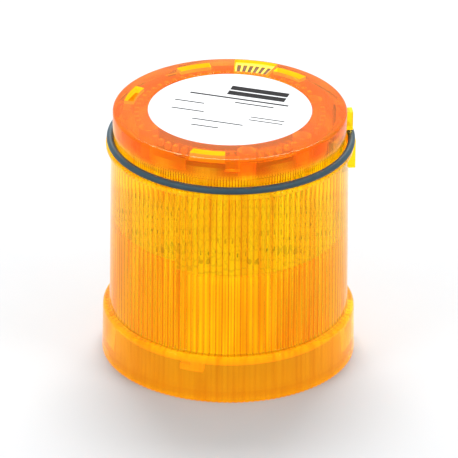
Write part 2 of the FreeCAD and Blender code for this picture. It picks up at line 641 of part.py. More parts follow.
def base_plate():
    """The plate that closes the lens above the socket, with the bayonet hooks under it."""
    body = new_body("base_plate")
    radius = f"({SOCKET_RADIUS} - dim.fit_gap)"
    corners = [("0", PLATE_FLOOR), (radius, PLATE_FLOOR), (radius, PLATE_TOP), ("0", PLATE_TOP)]
    turned(body, "disc", corners)
    radii = (
        f"({WINDOW_RADIUS} + dim.hook_clearance)",
        f"({WINDOW_RADIUS} + dim.window_width - dim.hook_clearance)",
    )
    # a locked hook's foot lies under the next module's top face
    foot_top = "(dim.neck_height - dim.top_wall - dim.hook_clearance)"
    foot_floor = f"({foot_top} - dim.hook_foot)"
    for place, angle in WINDOW_ANGLES.items():
        start = f"({angle} - dim.window_sweep / 2 + dim.hook_inset)"
        shank = (foot_floor, f"({PLATE_FLOOR} + dim.fit_gap)")
        sector(body, f"hook_{place}", radii, shank, start, "dim.hook_sweep")
        reach = "(dim.hook_sweep + dim.hook_reach)"
        toe = f"({start} - dim.hook_reach)"
        sector(body, f"foot_{place}", radii, (foot_floor, foot_top), toe, reach)
    for place, angle in BASE_BOSS_ANGLES.items():
        bore = "dim.screw_shank + dim.screw_gap"
        heights = (f"({PLATE_FLOOR} - dim.fit_gap)", f"({PLATE_TOP} + dim.fit_gap)")
        post(body, f"screw_hole_{place}", bore, BASE_BOSS_CIRCLE, angle, *heights, True)
    radii = (f"({BLOCK_INNER} - dim.fit_gap / 2)", f"({STRIP_RADIUS} + 2 * dim.fit_gap)")
    heights = (f"({PLATE_FLOOR} - dim.fit_gap)", f"({PLATE_TOP} + dim.fit_gap)")
    start = f"({ROW_START} - {ROW_GAP})"
    sweep = f"({ROW_SWEEP} + 2 * {ROW_GAP})"
    sector(body, "block_window", radii, heights, start, sweep, True)


def inner_carrier():
    """The tube that holds both boards, with a raised side and a slot for the contacts."""
    body = new_body("inner_carrier")
    top = LED_BOARD_TOP
    ledge = LEDGE_RADIUS
    corners = [
        (ledge, PLATE_TOP),
        (CARRIER_RADIUS, PLATE_TOP),
        (CARRIER_RADIUS, top),
        (CARRIER_BORE, top),
        (CARRIER_BORE, MAIN_BOARD),
        (ledge, MAIN_BOARD),
    ]
    turned(body, "tube", corners)
    raised = (f"({top} - dim.carrier_wall)", f"({top} + dim.carrier_step)")
    radii = (CARRIER_BORE, CARRIER_RADIUS)
    sector(body, "raised_side", radii, raised, "dim.raised_start", "dim.raised_sweep")
    for place, angle in BASE_BOSS_ANGLES.items():
        heights = (PLATE_TOP, MAIN_BOARD)
        circle = BASE_BOSS_CIRCLE
        post(body, f"boss_{place}", "dim.boss_radius", circle, angle, *heights)
        bore = "dim.screw_shank + dim.screw_gap"
        post(body, f"boss_{place}_bore", bore, circle, angle, *heights, True)
    slot = (f"({BLOCK_INNER} - 3 * dim.fit_gap)", f"({CARRIER_RADIUS} + dim.fit_gap)")
    heights = (f"({PLATE_TOP} - dim.fit_gap)", f"({top} + dim.fit_gap)")
    start = f"({ROW_START} - dim.slot_margin)"
    sector(body, "contact_slot", slot, heights, start, f"({ROW_SWEEP} + 2 * dim.slot_margin)", True)
    side_start = "(dim.side_strip_angle - dim.side_tail_sweep)"
    heights = (f"({LED_BOARD} - dim.fit_gap)", f"({top} + dim.fit_gap)")
    sector(body, "tail_slot", slot, heights, side_start, "(2 * dim.side_tail_sweep)", True)


def base_screws():
    """The screws that hold the carrier to the base plate, from below."""
    pieces = []
    for place, angle in BASE_BOSS_ANGLES.items():
        head_floor = f"({PLATE_FLOOR} - dim.screw_head_height)"
        tip = f"({PLATE_TOP} + dim.screw_bite)"
        name = f"base_screw_{place}"
        pieces.append(screw(name, BASE_BOSS_CIRCLE, angle, head_floor, PLATE_FLOOR, tip))
    group("base_screws", pieces)


# --- Contacts -----------------------------------------------------------------------------------


def contact_direction(number):
    """Direction of one of the contacts, counted from 1."""
    return f"(dim.contact_angle + ({number} - (dim.contact_count + 1) / 2) * dim.contact_pitch)"


def contact_strip(number):
    """A bronze strip from the pin's spring, up the wall and over the guide."""
    body = new_body(f"contact_strip_{number}")
    start = f"({contact_direction(number)} - dim.contact_sweep / 2)"
    outer = f"({STRIP_RADIUS} + dim.strip_thickness)"
    foot_end = f"({CONTACT_CIRCLE} - dim.pin_flange)"
    foot_top = f"({BLOCK_TOP} + dim.strip_thickness)"
    underside = f"({STRIP_TOP} - dim.strip_thickness)"
    corners = [
        (foot_end, BLOCK_TOP),
        (outer, BLOCK_TOP),
        (outer, STRIP_TOP),
        (PAD_RADIUS, STRIP_TOP),
        (PAD_RADIUS, underside),
        (STRIP_RADIUS, underside),
        (STRIP_RADIUS, foot_top),
        (foot_end, foot_top),
    ]
    turned(body, f"strip_{number}", corners, start, "dim.contact_sweep")


def contact_guide():
    """The ribbed insulator in the top face that the strips lie in."""
    body = new_body("upper_contact_guide")
    floor = f"({STRIP_TOP} - dim.guide_height)"
    crest = f"({STRIP_TOP} + dim.strip_thickness / 4)"
    back = f"({NECK_BORE} - dim.screw_gap)"
    corners = [
        (GUIDE_INNER, floor),
        (back, floor),
        (back, CEILING),
        (GUIDE_OUTER, CEILING),
        (GUIDE_OUTER, crest),
        (GUIDE_INNER, crest),
    ]
    turned(body, "guide_block", corners, ROW_START, ROW_SWEEP)
    for number in range(1, int(value("dim.contact_count")) + 1):
        half = "(dim.contact_sweep / 2 + dim.guide_groove / 2)"
        start = f"({contact_direction(number)} - {half})"
        sweep = f"(2 * {half})"
        bed = f"({STRIP_TOP} - dim.strip_thickness)"
        over = f"({crest} + dim.fit_gap)"
        inner = f"({PAD_RADIUS} - dim.fit_gap)"
        top_radii = (inner, f"({STRIP_RADIUS} + dim.strip_thickness + dim.screw_gap)")
        sector(body, f"groove_{number}", top_radii, (bed, over), start, sweep, True)
        leg_radii = (f"({STRIP_RADIUS} - dim.screw_gap)", top_radii[1])
        leg = (f"({floor} - dim.fit_gap)", over)
        sector(body, f"chase_{number}", leg_radii, leg, start, sweep, True)


def contact_block():
    """The insulator in the base plate that the sprung pins slide in."""
    body = new_body("lower_contact_block")
    radii = (BLOCK_INNER, f"({STRIP_RADIUS} + dim.fit_gap)")
    sector(body, "block", radii, (PLATE_FLOOR, BLOCK_TOP), ROW_START, ROW_SWEEP)
    # a lip on the plate's upper face carries the block
    lip_radii = (f"({BLOCK_INNER} - 1.6 * dim.fit_gap)", radii[1])
    lip = (PLATE_TOP, f"({PLATE_TOP} + dim.block_floor)")
    lip_start = f"({ROW_START} - dim.guide_margin)"
    lip_sweep = f"({ROW_SWEEP} + 2 * dim.guide_margin)"
    sector(body, "lip", lip_radii, lip, lip_start, lip_sweep)
    shoulder = f"({PLATE_FLOOR} + dim.block_floor)"
    for number in range(1, int(value("dim.contact_count")) + 1):
        angle = contact_direction(number)
        circle = CONTACT_CIRCLE
        neck = (f"({PLATE_FLOOR} - dim.fit_gap)", f"({shoulder} + dim.pin_gap)")
        post(body, f"guide_hole_{number}", "dim.pin_radius + dim.pin_gap", circle, angle, *neck, True)
        bore = (shoulder, f"({BLOCK_TOP} + dim.fit_gap)")
        post(body, f"bore_{number}", "dim.pin_flange + dim.pin_gap", circle, angle, *bore, True)


def contact_pin(number):
    """A sprung pin with a domed tip and a flange that the spring pushes on."""
    angle = contact_direction(number)
    circle = CONTACT_CIRCLE
    tip = f"({PLATE_FLOOR} - dim.pin_reach + dim.pin_radius)"
    flange = f"({PLATE_FLOOR} + dim.block_floor + dim.pin_gap)"
    flange_top = f"({flange} + dim.pin_flange_height)"
    stem = cylinder(f"pin_stem_{number}", "dim.pin_radius", tip, flange_top, circle, angle)
    collar = cylinder(f"pin_collar_{number}", "dim.pin_flange", flange, flange_top, circle, angle)
    dome = ball(f"pin_dome_{number}", "dim.pin_radius", tip, circle, angle)
    keep(fused(f"pin_{number}", [stem, collar, dome]), f"contact_pin_{number}")


def contact_spring(number):
    """A coil spring between the pin's flange and the foot of its strip."""
    wire = value("dim.spring_wire")
    low = value(f"{PLATE_FLOOR} + dim.block_floor + dim.pin_gap + dim.pin_flange_height") + wire
    high = value(BLOCK_TOP) - wire
    clear = value("dim.pin_gap") / 5
    radius = value("dim.spring_radius")
    height = high - low - 2 * clear
    helix = Part.makeHelix(height / value("dim.spring_turns"), height, radius)
    section = Part.Wire(Part.makeCircle(wire, FreeCAD.Vector(radius, 0, 0), FreeCAD.Vector(0, 1, 0)))
    coil = Part.Wire(helix).makePipeShell([section], True, True)
    spring = doc.addObject("Part::Feature", f"spring_{number}")
    spring.Shape = coil
    angle = math.radians(value(contact_direction(number)))
    circle = value(CONTACT_CIRCLE)
    spot = FreeCAD.Vector(circle * math.cos(angle), circle * math.sin(angle), low + clear)
    spring.Placement = FreeCAD.Placement(spot, FreeCAD.Rotation())
    keep(spring, f"contact_spring_{number}")


def side_contact():
    """The wide contact strip beside the key, with a tail down to the lamp board."""
    body = new_body("side_contact_strip")
    outer = f"({STRIP_RADIUS} + dim.strip_thickness)"
    radii = (STRIP_RADIUS, outer)
    head = (SIDE_STRIP_FOOT, CEILING)
    start = "(dim.side_strip_angle - dim.side_strip_sweep / 2)"
    sector(body, "head", radii, head, start, "dim.side_strip_sweep")
    tail = (LED_BOARD_TOP, f"({SIDE_STRIP_FOOT} + dim.fit_gap)")
    tail_start = "(dim.side_strip_angle - dim.side_tail_sweep / 2)"
    sector(body, "tail", radii, tail, tail_start, "dim.side_tail_sweep")
    foot_radii = (f"({BOARD_RADIUS} - 2 * dim.carrier_wall)", outer)
    foot = (LED_BOARD_TOP, f"({LED_BOARD_TOP} + dim.strip_thickness)")
    sector(body, "foot", foot_radii, foot, tail_start, "dim.side_tail_sweep")


# --- Boards, lamps and reflector ----------------------------------------------------------------


def board(label, low):
    """A round circuit board with a notch for the contacts and holes for the spacers' screws."""
    body = new_body(label)
    high = f"({low} + dim.board_thickness)"
    corners = [("0", low), (BOARD_RADIUS, low), (BOARD_RADIUS, high), ("0", high)]
    turned(body, label + "_disc", corners)
    through = (f"({low} - dim.fit_gap)", f"({high} + dim.fit_gap)")
    notch = (f"({BLOCK_INNER} - 3 * dim.fit_gap)", f"({BOARD_RADIUS} + dim.fit_gap)")
    start = f"({ROW_START} - dim.slot_margin)"
    sector(body, label + "_notch", notch, through, start, f"({ROW_SWEEP} + 2 * dim.slot_margin)", True)
    for place, angle in SPACER_ANGLES.items():
        bore = "dim.screw_shank + dim.screw_gap"
        name = f"{label}_hole_{place}"
        post(body, name, bore, SPACER_CIRCLE, angle, *through, True)


def board_spacers():
    """Threaded spacers between the boards, and the screws at both their ends."""
    spacers, screws = [], []
    circle = SPACER_CIRCLE
    for place, angle in SPACER_ANGLES.items():
        outside = cylinder(f"spacer_{place}_rod", "dim.spacer_radius", MAIN_BOARD_TOP, LED_BOARD,
                           circle, angle)
        bore = cylinder(f"spacer_{place}_bore", "dim.screw_shank + dim.screw_gap",
                        MAIN_BOARD_TOP, LED_BOARD, circle, angle)
        spacers.append(cut_from(f"spacer_{place}", outside, bore))
        lower_head = f"({MAIN_BOARD} - dim.screw_head_height)"
        lower_tip = f"({MAIN_BOARD_TOP} + dim.screw_bite)"
        screws.append(screw(f"lower_{place}", circle, angle, lower_head, MAIN_BOARD, lower_tip))
        upper_head = f"({LED_BOARD_TOP} + dim.screw_head_height)"
        upper_tip = f"({LED_BOARD} - dim.screw_bite)"
        screws.append(screw(f"upper_{place}", circle, angle, LED_BOARD_TOP, upper_head, upper_tip))
    group("board_spacers", spacers)
    group("board_screws", screws)


def lamps():
    """The lamps in two rings, their domes, and the resistor beside each outer one."""
    packages, domes, resistors = [], [], []
    rings = {
        "outer": ("dim.led_count", LED_CIRCLE),
        "inner": ("dim.inner_led_count", "dim.inner_led_circle"),
    }
    top = f"({LED_BOARD_TOP} + dim.led_height)"
    for ring, (count, circle) in rings.items():
        number = int(value(count))
        for index in range(number):
            angle = f"(({index} + 0.5) * 360 / {count})"
            name = f"{ring}_lamp_{index + 1}"
            size = ("dim.led_length", "dim.led_width")
            packages.append(brick(name, *size, LED_BOARD_TOP, top, circle, angle))
            dome = ball(name + "_ball", "dim.dome_radius", top, circle, angle)
            lower = brick(name + "_flat", *size, LED_BOARD_TOP, top, circle, angle)
            domes.append(cut_from(name + "_dome", dome, lower))
    for index in range(int(value("dim.led_count"))):
        angle = f"({index} * 360 / dim.led_count + dim.lamp_resistor_start)"
        size = ("dim.lamp_resistor_length", "dim.lamp_resistor_width")
        heights = (LED_BOARD_TOP, f"({LED_BOARD_TOP} + dim.lamp_resistor_height)")
        name = f"lamp_resistor_{index + 1}"
        resistors.append(brick(name, *size, *heights, "dim.lamp_resistor_circle", angle))
    group("lamps", packages)
    group("lamp_domes", domes)
    group("lamp_resistors", resistors)


def reflector():
    """The white cone that throws the light out sideways, and its screws."""
    body = new_body("reflector_cone")
    rim_floor = f"({CONE_BOSS_FOOT} - dim.cone_rim)"
    rim_radius = f"({CONE_BOSS_CIRCLE} + dim.boss_radius)"
    tip = CONE_TIP
    corners = [
        ("dim.cone_tip_radius", tip),
        (CONE_RADIUS, rim_floor),
        (rim_radius, rim_floor),
        (rim_radius, CONE_BOSS_FOOT),
        (f"({CONE_RADIUS} - dim.cone_wall)", CONE_BOSS_FOOT),
        ("(dim.cone_tip_radius - dim.cone_wall)", f"({tip} + dim.cone_wall)"),
        ("0", f"({tip} + dim.cone_wall)"),
        ("0", tip),
    ]
    turned(body, "cone", corners)
    pieces = []
    for place, angle in CONE_BOSS_ANGLES.items():
        heights = (f"({rim_floor} - dim.fit_gap)", f"({CONE_BOSS_FOOT} + dim.fit_gap)")
        bore = "dim.screw_shank + dim.screw_gap"
        post(body, f"rim_hole_{place}", bore, CONE_BOSS_CIRCLE, angle, *heights, True)
        head_floor = f"({rim_floor} - dim.screw_head_height)"
        grip = f"({CONE_BOSS_FOOT} + dim.screw_bite)"
        name = f"cone_screw_{place}"
        pieces.append(screw(name, CONE_BOSS_CIRCLE, angle, head_floor, rim_floor, grip))
    group("reflector_screws", pieces)


def chip(label, legs=0):
    """A component on the main board, with bent legs along both sides if it has any."""
    low = MAIN_BOARD_TOP
    length = f"dim.{label}_length"
    width = f"dim.{label}_width"
    height = f"dim.{label}_height"
    circle = f"dim.{label}_circle"
    angle = f"dim.{label}_angle"
    case_heights = (f"({low} + dim.case_standoff)", f"({low} + {height})")
    case = brick(label + "_case", length, width, *case_heights, circle, angle)
    pieces = [case]
    for side in (-1, 1):
        for index in range(legs):
            step = index - (legs - 1) / 2
            spot = f"({circle} + ({step}) * {length} / ({legs} + 0.5))"
            across = f"(({side}) * ({width} / 2 + dim.leg_offset))"
            name = f"{label}_leg_{index}_{'left' if side < 0 else 'right'}"
            size = ("dim.leg_width", "dim.leg_length", low, f"({low} + {height} / 2)")
            pieces.append(brick(name, *size, spot, angle, across))
    keep(fused(label + "_whole", pieces) if legs else case, label)


def can(label, name):
    """An upright round component on the main board."""
    heights = (MAIN_BOARD_TOP, f"({MAIN_BOARD_TOP} + dim.{name}_height)")
    place = (f"dim.{name}_circle", f"dim.{name}_angle")
    keep(cylinder(name + "_can", f"dim.{name}_radius", *heights, *place), label)


def row_of(label, name):
    """Equal small blocks side by side on a circle on the main board."""
    blocks = []
    heights = (MAIN_BOARD_TOP, f"({MAIN_BOARD_TOP} + dim.{name}_height)")
    size = (f"dim.{name}_length", f"dim.{name}_width")
    for index in range(int(value(f"dim.{name}_count"))):
        angle = f"(dim.{name}_start + {index} * dim.{name}_pitch)"
        blocks.append(brick(f"{name}_{index}", *size, *heights, f"dim.{name}_circle", angle))
    group(label, blocks)


def electronics():
    """What flashes the lamps, on the main board."""
    can("smoothing_capacitor", "capacitor")
    can("supply_choke", "choke")
    chip("flasher_chip", legs=7)
    chip("lamp_driver", legs=2)
    chip("bridge_rectifier", legs=2)
    chip("surge_diode")
    row_of("ceramic_capacitors", "ceramic")
    row_of("chip_resistors", "resistor")
    low = MAIN_BOARD_TOP
    size = ("dim.link_depth", "dim.link_width", low, f"({low} + dim.link_depth)")
    pieces = [brick("link_base", *size, "dim.link_circle")]
    count = int(value("dim.link_count"))
    for index in range(count):
        across = f"(({index - (count - 1) / 2}) * dim.link_pitch)"
        pin = ("dim.link_pin", "dim.link_pin", low, LED_BOARD)
        pieces.append(brick(f"link_pin_{index}", *pin, "dim.link_circle", "0", across))
    keep(fused("link_whole", pieces), "board_link")


def build():
    """Builds every sub-part."""
    lens_housing()
    seal_ring()
    rating_label()
    base_plate()
    inner_carrier()
    base_screws()
    contact_guide()
    contact_block()
    for number in range(1, int(value("dim.contact_count")) + 1):
        contact_strip(number)
        contact_pin(number)
        contact_spring(number)
    side_contact()
    board("main_board", MAIN_BOARD)
    board("lamp_board", LED_BOARD)
    board_spacers()
    lamps()
    reflector()
    electronics()
    doc.recompute()


def check_and_write():
    """Stops at a failed object or shape, then writes each sub-part's STEP file."""
    for item in doc.Objects:
        if "Invalid" in item.State or "Error" in item.State:
            raise ValueError(f"{item.Label} failed: {item.State}")
    for piece in sub_parts:
        if piece.Shape.isNull() or not piece.Shape.isValid():
            raise ValueError(f"{piece.Label} has no valid shape")
    os.makedirs("parts", exist_ok=True)
    for piece in sub_parts:
        piece.Shape.exportStep(os.path.join("parts", piece.Label + ".step"))
        print(f"{piece.Label}: {len(piece.Shape.Solids)} solid(s), {piece.Shape.Volume:.1f} mm3")


build()
check_and_write()
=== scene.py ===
import logging
import math
from dataclasses import dataclass
from enum import Enum
from typing import Callable, Sequence

import bmesh
import bpy
from bmesh.types import BMesh, BMVert
from bpy.types import Material, Node, NodeSocket as Socket, NodeTree, Object
from mathutils import Matrix, Vector


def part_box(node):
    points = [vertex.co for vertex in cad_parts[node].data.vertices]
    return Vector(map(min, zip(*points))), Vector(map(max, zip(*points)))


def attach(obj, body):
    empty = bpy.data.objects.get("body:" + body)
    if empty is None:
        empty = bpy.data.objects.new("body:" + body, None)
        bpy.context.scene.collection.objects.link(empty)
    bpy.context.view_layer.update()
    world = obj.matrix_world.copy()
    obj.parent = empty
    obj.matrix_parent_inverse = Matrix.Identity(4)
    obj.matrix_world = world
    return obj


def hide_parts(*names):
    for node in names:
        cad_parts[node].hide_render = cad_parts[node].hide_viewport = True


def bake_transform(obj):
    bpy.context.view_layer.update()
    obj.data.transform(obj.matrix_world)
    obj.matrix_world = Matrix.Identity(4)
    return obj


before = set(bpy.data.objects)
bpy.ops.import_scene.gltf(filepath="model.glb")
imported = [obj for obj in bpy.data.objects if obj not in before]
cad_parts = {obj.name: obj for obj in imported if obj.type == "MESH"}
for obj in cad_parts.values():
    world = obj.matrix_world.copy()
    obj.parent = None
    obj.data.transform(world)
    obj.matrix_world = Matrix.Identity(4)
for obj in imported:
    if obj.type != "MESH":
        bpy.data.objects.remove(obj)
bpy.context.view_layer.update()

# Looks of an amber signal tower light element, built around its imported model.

MM = 0.001
MODULE = "module"
AXIS = Vector((0, 0, 1))
ORIGIN = Vector((0, 0, 0))
# the Mix node's colour sockets, which share their names with its other sockets
MIX_FIRST, MIX_SECOND, MIX_RESULT = 6, 7, 2

log = logging.getLogger("signal_element")


# --- Node trees -------------------------------------------


class Tree:
    """A short way to add and link nodes in a material or a node group."""

    def __init__(self, tree: NodeTree) -> None:
        """Wraps the tree that nodes are added to."""
        self.tree = tree

    def add(self, kind: str, **settings: object) -> Node:
        """Adds a node, by its type name after "ShaderNode", and sets its attributes."""
        node = self.tree.nodes.new("ShaderNode" + kind)
        for name, setting in settings.items():
            setattr(node, name, setting)
        return node

    def link(self, source: Socket, target: Socket) -> None:
        """Links an output to an input."""
        self.tree.links.new(source, target)

    def feed(self, target: Socket, source: object) -> None:
        """Feeds an input from an output socket, or sets its plain value."""
        if isinstance(source, Socket):
            self.link(source, target)
        else:
            target.default_value = source

    def math(self, operation: str, first: object, second: object = 0.0) -> Socket:
        """Adds a Math node and returns its output."""
        node = self.add("Math", operation=operation)
        self.feed(node.inputs[0], first)
        self.feed(node.inputs[1], second)
        return node.outputs[0]

    def remap(self, value: object, low: float, high: float, to_low: object,
              to_high: object) -> Socket:
        """Maps a value from one range to another, held at both ends.

        Args:
            value: what is mapped.
            low: lower end of the range that it comes from.
            high: upper end of that range.
            to_low: what the lower end becomes.
            to_high: what the upper end becomes.

        Returns:
            The mapped value.
        """
        node = self.add("MapRange")
        for socket, source in zip(node.inputs, (value, low, high, to_low, to_high)):
            self.feed(socket, source)
        return node.outputs[0]

    def mix(self, factor: object, first: object, second: object) -> Socket:
        """Mixes two colours, where the factor is the share of the second."""
        node = self.add("Mix", data_type="RGBA")
        self.feed(node.inputs[0], factor)
        self.feed(node.inputs[MIX_FIRST], first)
        self.feed(node.inputs[MIX_SECOND], second)
        return node.outputs[MIX_RESULT]

    def noise(self, vector: object, scale: object, detail: float = 3.0) -> Socket:
        """Adds a Noise texture and returns its value."""
        node = self.add("TexNoise")
        self.feed(node.inputs["Vector"], vector)
        self.feed(node.inputs["Scale"], scale)
        node.inputs["Detail"].default_value = detail
        return node.outputs["Fac"]

    def group(self, tree: NodeTree, **values: object) -> Node:
        """Adds a node group, with its inputs by name and spaces written as underscores."""
        node = self.add("Group", node_tree=tree)
        for name, value in values.items():
            self.feed(node.inputs[name.replace("_", " ")], value)
        return node


def effect(name: str, inputs: dict[str, object], outputs: Sequence[str],
           fill: Callable[[Tree, Node, Node], None]) -> NodeTree:
    """Builds a shared shader node group.

    Args:
        name: the group's name.
        inputs: its inputs, each with a default, or None for a vector.
        outputs: names of its values.
        fill: adds the group's nodes between its input and output nodes.

    Returns:
        The group's tree.
    """
    tree = bpy.data.node_groups.new(name, "ShaderNodeTree")
    for label, default in inputs.items():
        kind = "NodeSocketVector" if default is None else "NodeSocketFloat"
        socket = tree.interface.new_socket(label, in_out="INPUT", socket_type=kind)
        if default is not None:
            socket.default_value = default
    for label in outputs:
        tree.interface.new_socket(label, in_out="OUTPUT", socket_type="NodeSocketFloat")
    fill(Tree(tree), tree.nodes.new("NodeGroupInput"), tree.nodes.new("NodeGroupOutput"))
    return tree


def fill_mottle(tree: Tree, given: Node, result: Node) -> None:
    """Soft cloudy variation, as in moulded plastic, with a finer grain over it."""
    coarse = tree.noise(given.outputs["Vector"], given.outputs["Scale"], 2.0)
    fine_scale = tree.math("MULTIPLY", given.outputs["Scale"], 6.5)
    fine = tree.noise(given.outputs["Vector"], fine_scale, 4.0)
    cloud = tree.remap(coarse, 0.32, 0.68, 0.0, 1.0)
    tree.link(cloud, result.inputs["Cloud"])
    tree.link(tree.remap(fine, 0.35, 0.65, 0.0, 1.0), result.inputs["Grain"])


def fill_scuffs(tree: Tree, given: Node, result: Node) -> None:
    """Sparse fine hairlines from handling, in two directions."""
    lines = []
    for turn, stretch in ((0.6, 9.0), (-1.1, 7.0)):
        mapping = tree.add("Mapping")
        mapping.inputs["Rotation"].default_value = (turn, 0.4 * turn, turn)
        mapping.inputs["Scale"].default_value = (1.0, 1.0, stretch)
        tree.link(given.outputs["Vector"], mapping.inputs["Vector"])
        streak = tree.noise(mapping.outputs["Vector"], given.outputs["Scale"], 1.0)
        lines.append(tree.remap(streak, 0.66, 0.72, 0.0, 1.0))
    both = tree.math("MAXIMUM", lines[0], lines[1])
    tree.link(tree.math("MULTIPLY", both, given.outputs["Amount"]), result.inputs["Mask"])


def fill_ribs(tree: Tree, given: Node, result: Node) -> None:
    """Upright lines round the Z axis, between two heights: 1 along the middle of each line."""
    split = tree.add("SeparateXYZ")
    tree.link(given.outputs["Vector"], split.inputs[0])
    turn = tree.math("ARCTAN2", split.outputs["Y"], split.outputs["X"])
    cells = tree.math("MULTIPLY", tree.math("DIVIDE", turn, math.tau), given.outputs["Count"])
    cells = tree.math("ADD", cells, given.outputs["Offset"])
    side = tree.math("ABSOLUTE", tree.math("SUBTRACT", tree.math("FRACT", cells), 0.5))
    away = tree.math("MULTIPLY", tree.math("SUBTRACT", 0.5, side), 2.0)
    line = tree.remap(away, 0.0, 1.0, 1.0, 0.0)
    edge = tree.math("SUBTRACT", 1.0, given.outputs["Width"])
    soft = tree.add("MapRange", interpolation_type="SMOOTHSTEP")
    for socket, source in zip(soft.inputs, (line, edge, 1.0, 0.0, 1.0)):
        tree.feed(socket, source)
    height = split.outputs["Z"]
    above = tree.math("GREATER_THAN", height, given.outputs["Low"])
    below = tree.math("LESS_THAN", height, given.outputs["High"])
    band = tree.math("MULTIPLY", above, below)
    tree.link(tree.math("MULTIPLY", soft.outputs[0], band), result.inputs["Mask"])


def fill_bar(tree: Tree, given: Node, result: Node) -> None:
    """A printed bar: a rectangle given by its centre and half sizes."""
    split = tree.add("SeparateXYZ")
    tree.link(given.outputs["Vector"], split.inputs[0])
    sides = []
    for axis in ("X", "Y"):
        offset = tree.math("SUBTRACT", split.outputs[axis], given.outputs[f"Centre {axis}"])
        size = tree.math("ABSOLUTE", offset)
        sides.append(tree.math("LESS_THAN", size, given.outputs[f"Half {axis}"]))
    tree.link(tree.math("MULTIPLY", sides[0], sides[1]), result.inputs["Mask"])


MOTTLE = effect("mottle", {"Vector": None, "Scale": 100.0}, ("Cloud", "Grain"), fill_mottle)
SCUFFS = effect("scuffs", {"Vector": None, "Scale": 60.0, "Amount": 1.0}, ("Mask",), fill_scuffs)
RIBS = effect("upright_ribs", {"Vector": None, "Count": 120.0, "Offset": 0.0, "Width": 0.3,
                               "Low": 0.0, "High": 1.0}, ("Mask",), fill_ribs)
BAR = effect("printed_bar", {"Vector": None, "Centre X": 0.0, "Centre Y": 0.0, "Half X": 0.001,
                             "Half Y": 0.001}, ("Mask",), fill_bar)

Pair = tuple[float, float]
Colour = tuple[float, float, float]
Four = tuple[float, float, float, float]

AMBER: Colour = (1.0, 0.88, 0.010)
DEEP_AMBER: Colour = (1.0, 0.81, 0.008)
LINE: Colour = (0.8, 0.28, 0.001)
RIB_LINE: Colour = (0.6, 0.10, 0.001)
# painted glint: the paler colour of the patches in the top ring
PAINTED_GLINT: Colour = (1.0, 0.66, 0.02)
GLOSS_AMBER: Colour = (1.0, 0.7, 0.3)
DEPTH_AMBER: Colour = (1.0, 0.92, 0.0)


# --- Finishes ---------------------------------------------


@dataclass(frozen=True)
class Finish:
    """A moulded, metal or painted surface with cloudy colour, fine grain and light scuffs.

    Colours are linear.  Scales are in pattern cells per metre.
    """

    name: str
    colour: Colour
    shade: Colour
    roughness: Pair = (0.35, 0.5)
    metallic: float = 0.0
    scale: float = 140.0
    scuff: float = 0.15
    bump: float = 0.05
    coat: float = 0.0
    transmission: float = 0.0
    ior: float = 1.5
    specular: float = 0.5
    gloss_tint: Colour = (1.0, 1.0, 1.0)
    subsurface: float = 0.0
    depth_tint: Colour = (1.0, 1.0, 1.0)
    depth_density: float = 0.0
    # painted glow: emission strength that lifts the surface's brightness, though it is no lamp
    glow: float = 0.0

    def build(self) -> Material:
        """Builds the material."""
        material = bpy.data.materials.new(self.name)
        material.use_nodes = True
        material.node_tree.nodes.clear()
        tree = Tree(material.node_tree)
        shader = tree.add("BsdfPrincipled")
        output = tree.add("OutputMaterial")
        tree.link(shader.outputs[0], output.inputs["Surface"])
        spot = tree.add("TexCoord").outputs["Object"]
        self.dress(tree, shader, spot)
        plain = {
            "Metallic": self.metallic,
            "Coat Weight": self.coat,
            "Transmission Weight": self.transmission,
            "IOR": self.ior,
            "Specular IOR Level": self.specular,
            "Subsurface Weight": self.subsurface,
        }
        for socket, value in plain.items():
            shader.inputs[socket].default_value = value
        shader.inputs["Specular Tint"].default_value = (*self.gloss_tint, 1)
        if self.subsurface > 0:
            shader.inputs["Subsurface Scale"].default_value = 2 * MM
        if self.depth_density > 0:
            depth = tree.add("VolumeAbsorption")
            depth.inputs["Color"].default_value = (*self.depth_tint, 1)
            depth.inputs["Density"].default_value = self.depth_density
            tree.link(depth.outputs[0], output.inputs["Volume"])
        return material

    def dress(self, tree: Tree, shader: Node, spot: Socket) -> None:
        """Drives the shader's colour, roughness and bump from the effects, read at the spot."""
        mottle = tree.group(MOTTLE, Vector=spot, Scale=self.scale)
        scuffs = tree.group(SCUFFS, Vector=spot, Scale=self.scale * 0.8, Amount=self.scuff)
        colour = tree.mix(mottle.outputs["Cloud"], (*self.colour, 1), (*self.shade, 1))
        colour = self.pattern(tree, colour, spot)
        tree.link(colour, shader.inputs["Base Color"])
        # painted glow: emission on a surface that is no lamp
        if self.glow > 0:
            tree.link(self.painted_glow_colour(tree, colour, spot), shader.inputs["Emission Color"])
            shader.inputs["Emission Strength"].default_value = self.glow
        smooth, rough = self.roughness
        dull = tree.remap(mottle.outputs["Grain"], 0.0, 1.0, smooth, rough)
        worn = tree.math("ADD", dull, tree.math("MULTIPLY", scuffs.outputs["Mask"], 0.25))
        tree.link(worn, shader.inputs["Roughness"])
        bump = tree.add("Bump")
        bump.inputs["Strength"].default_value = self.bump
        bump.inputs["Distance"].default_value = 0.1 * MM
        height = tree.math("SUBTRACT", mottle.outputs["Grain"], scuffs.outputs["Mask"])
        tree.link(self.relief(tree, height, spot), bump.inputs["Height"])
        tree.link(bump.outputs["Normal"], shader.inputs["Normal"])

    def pattern(self, tree: Tree, colour: Socket, spot: Socket) -> Socket:
        """Draws the finish's own pattern over its colour; none here."""
        return colour

    def relief(self, tree: Tree, height: Socket, spot: Socket) -> Socket:
        """Adds the finish's own relief to the height; none here."""
        return height

    def painted_glow_colour(self, tree: Tree, colour: Socket, spot: Socket) -> Socket:
        """Gives the colour of the painted glow, which lifts the plastic's brightness though it is
        no lamp; its own colour here.
        """
        return colour


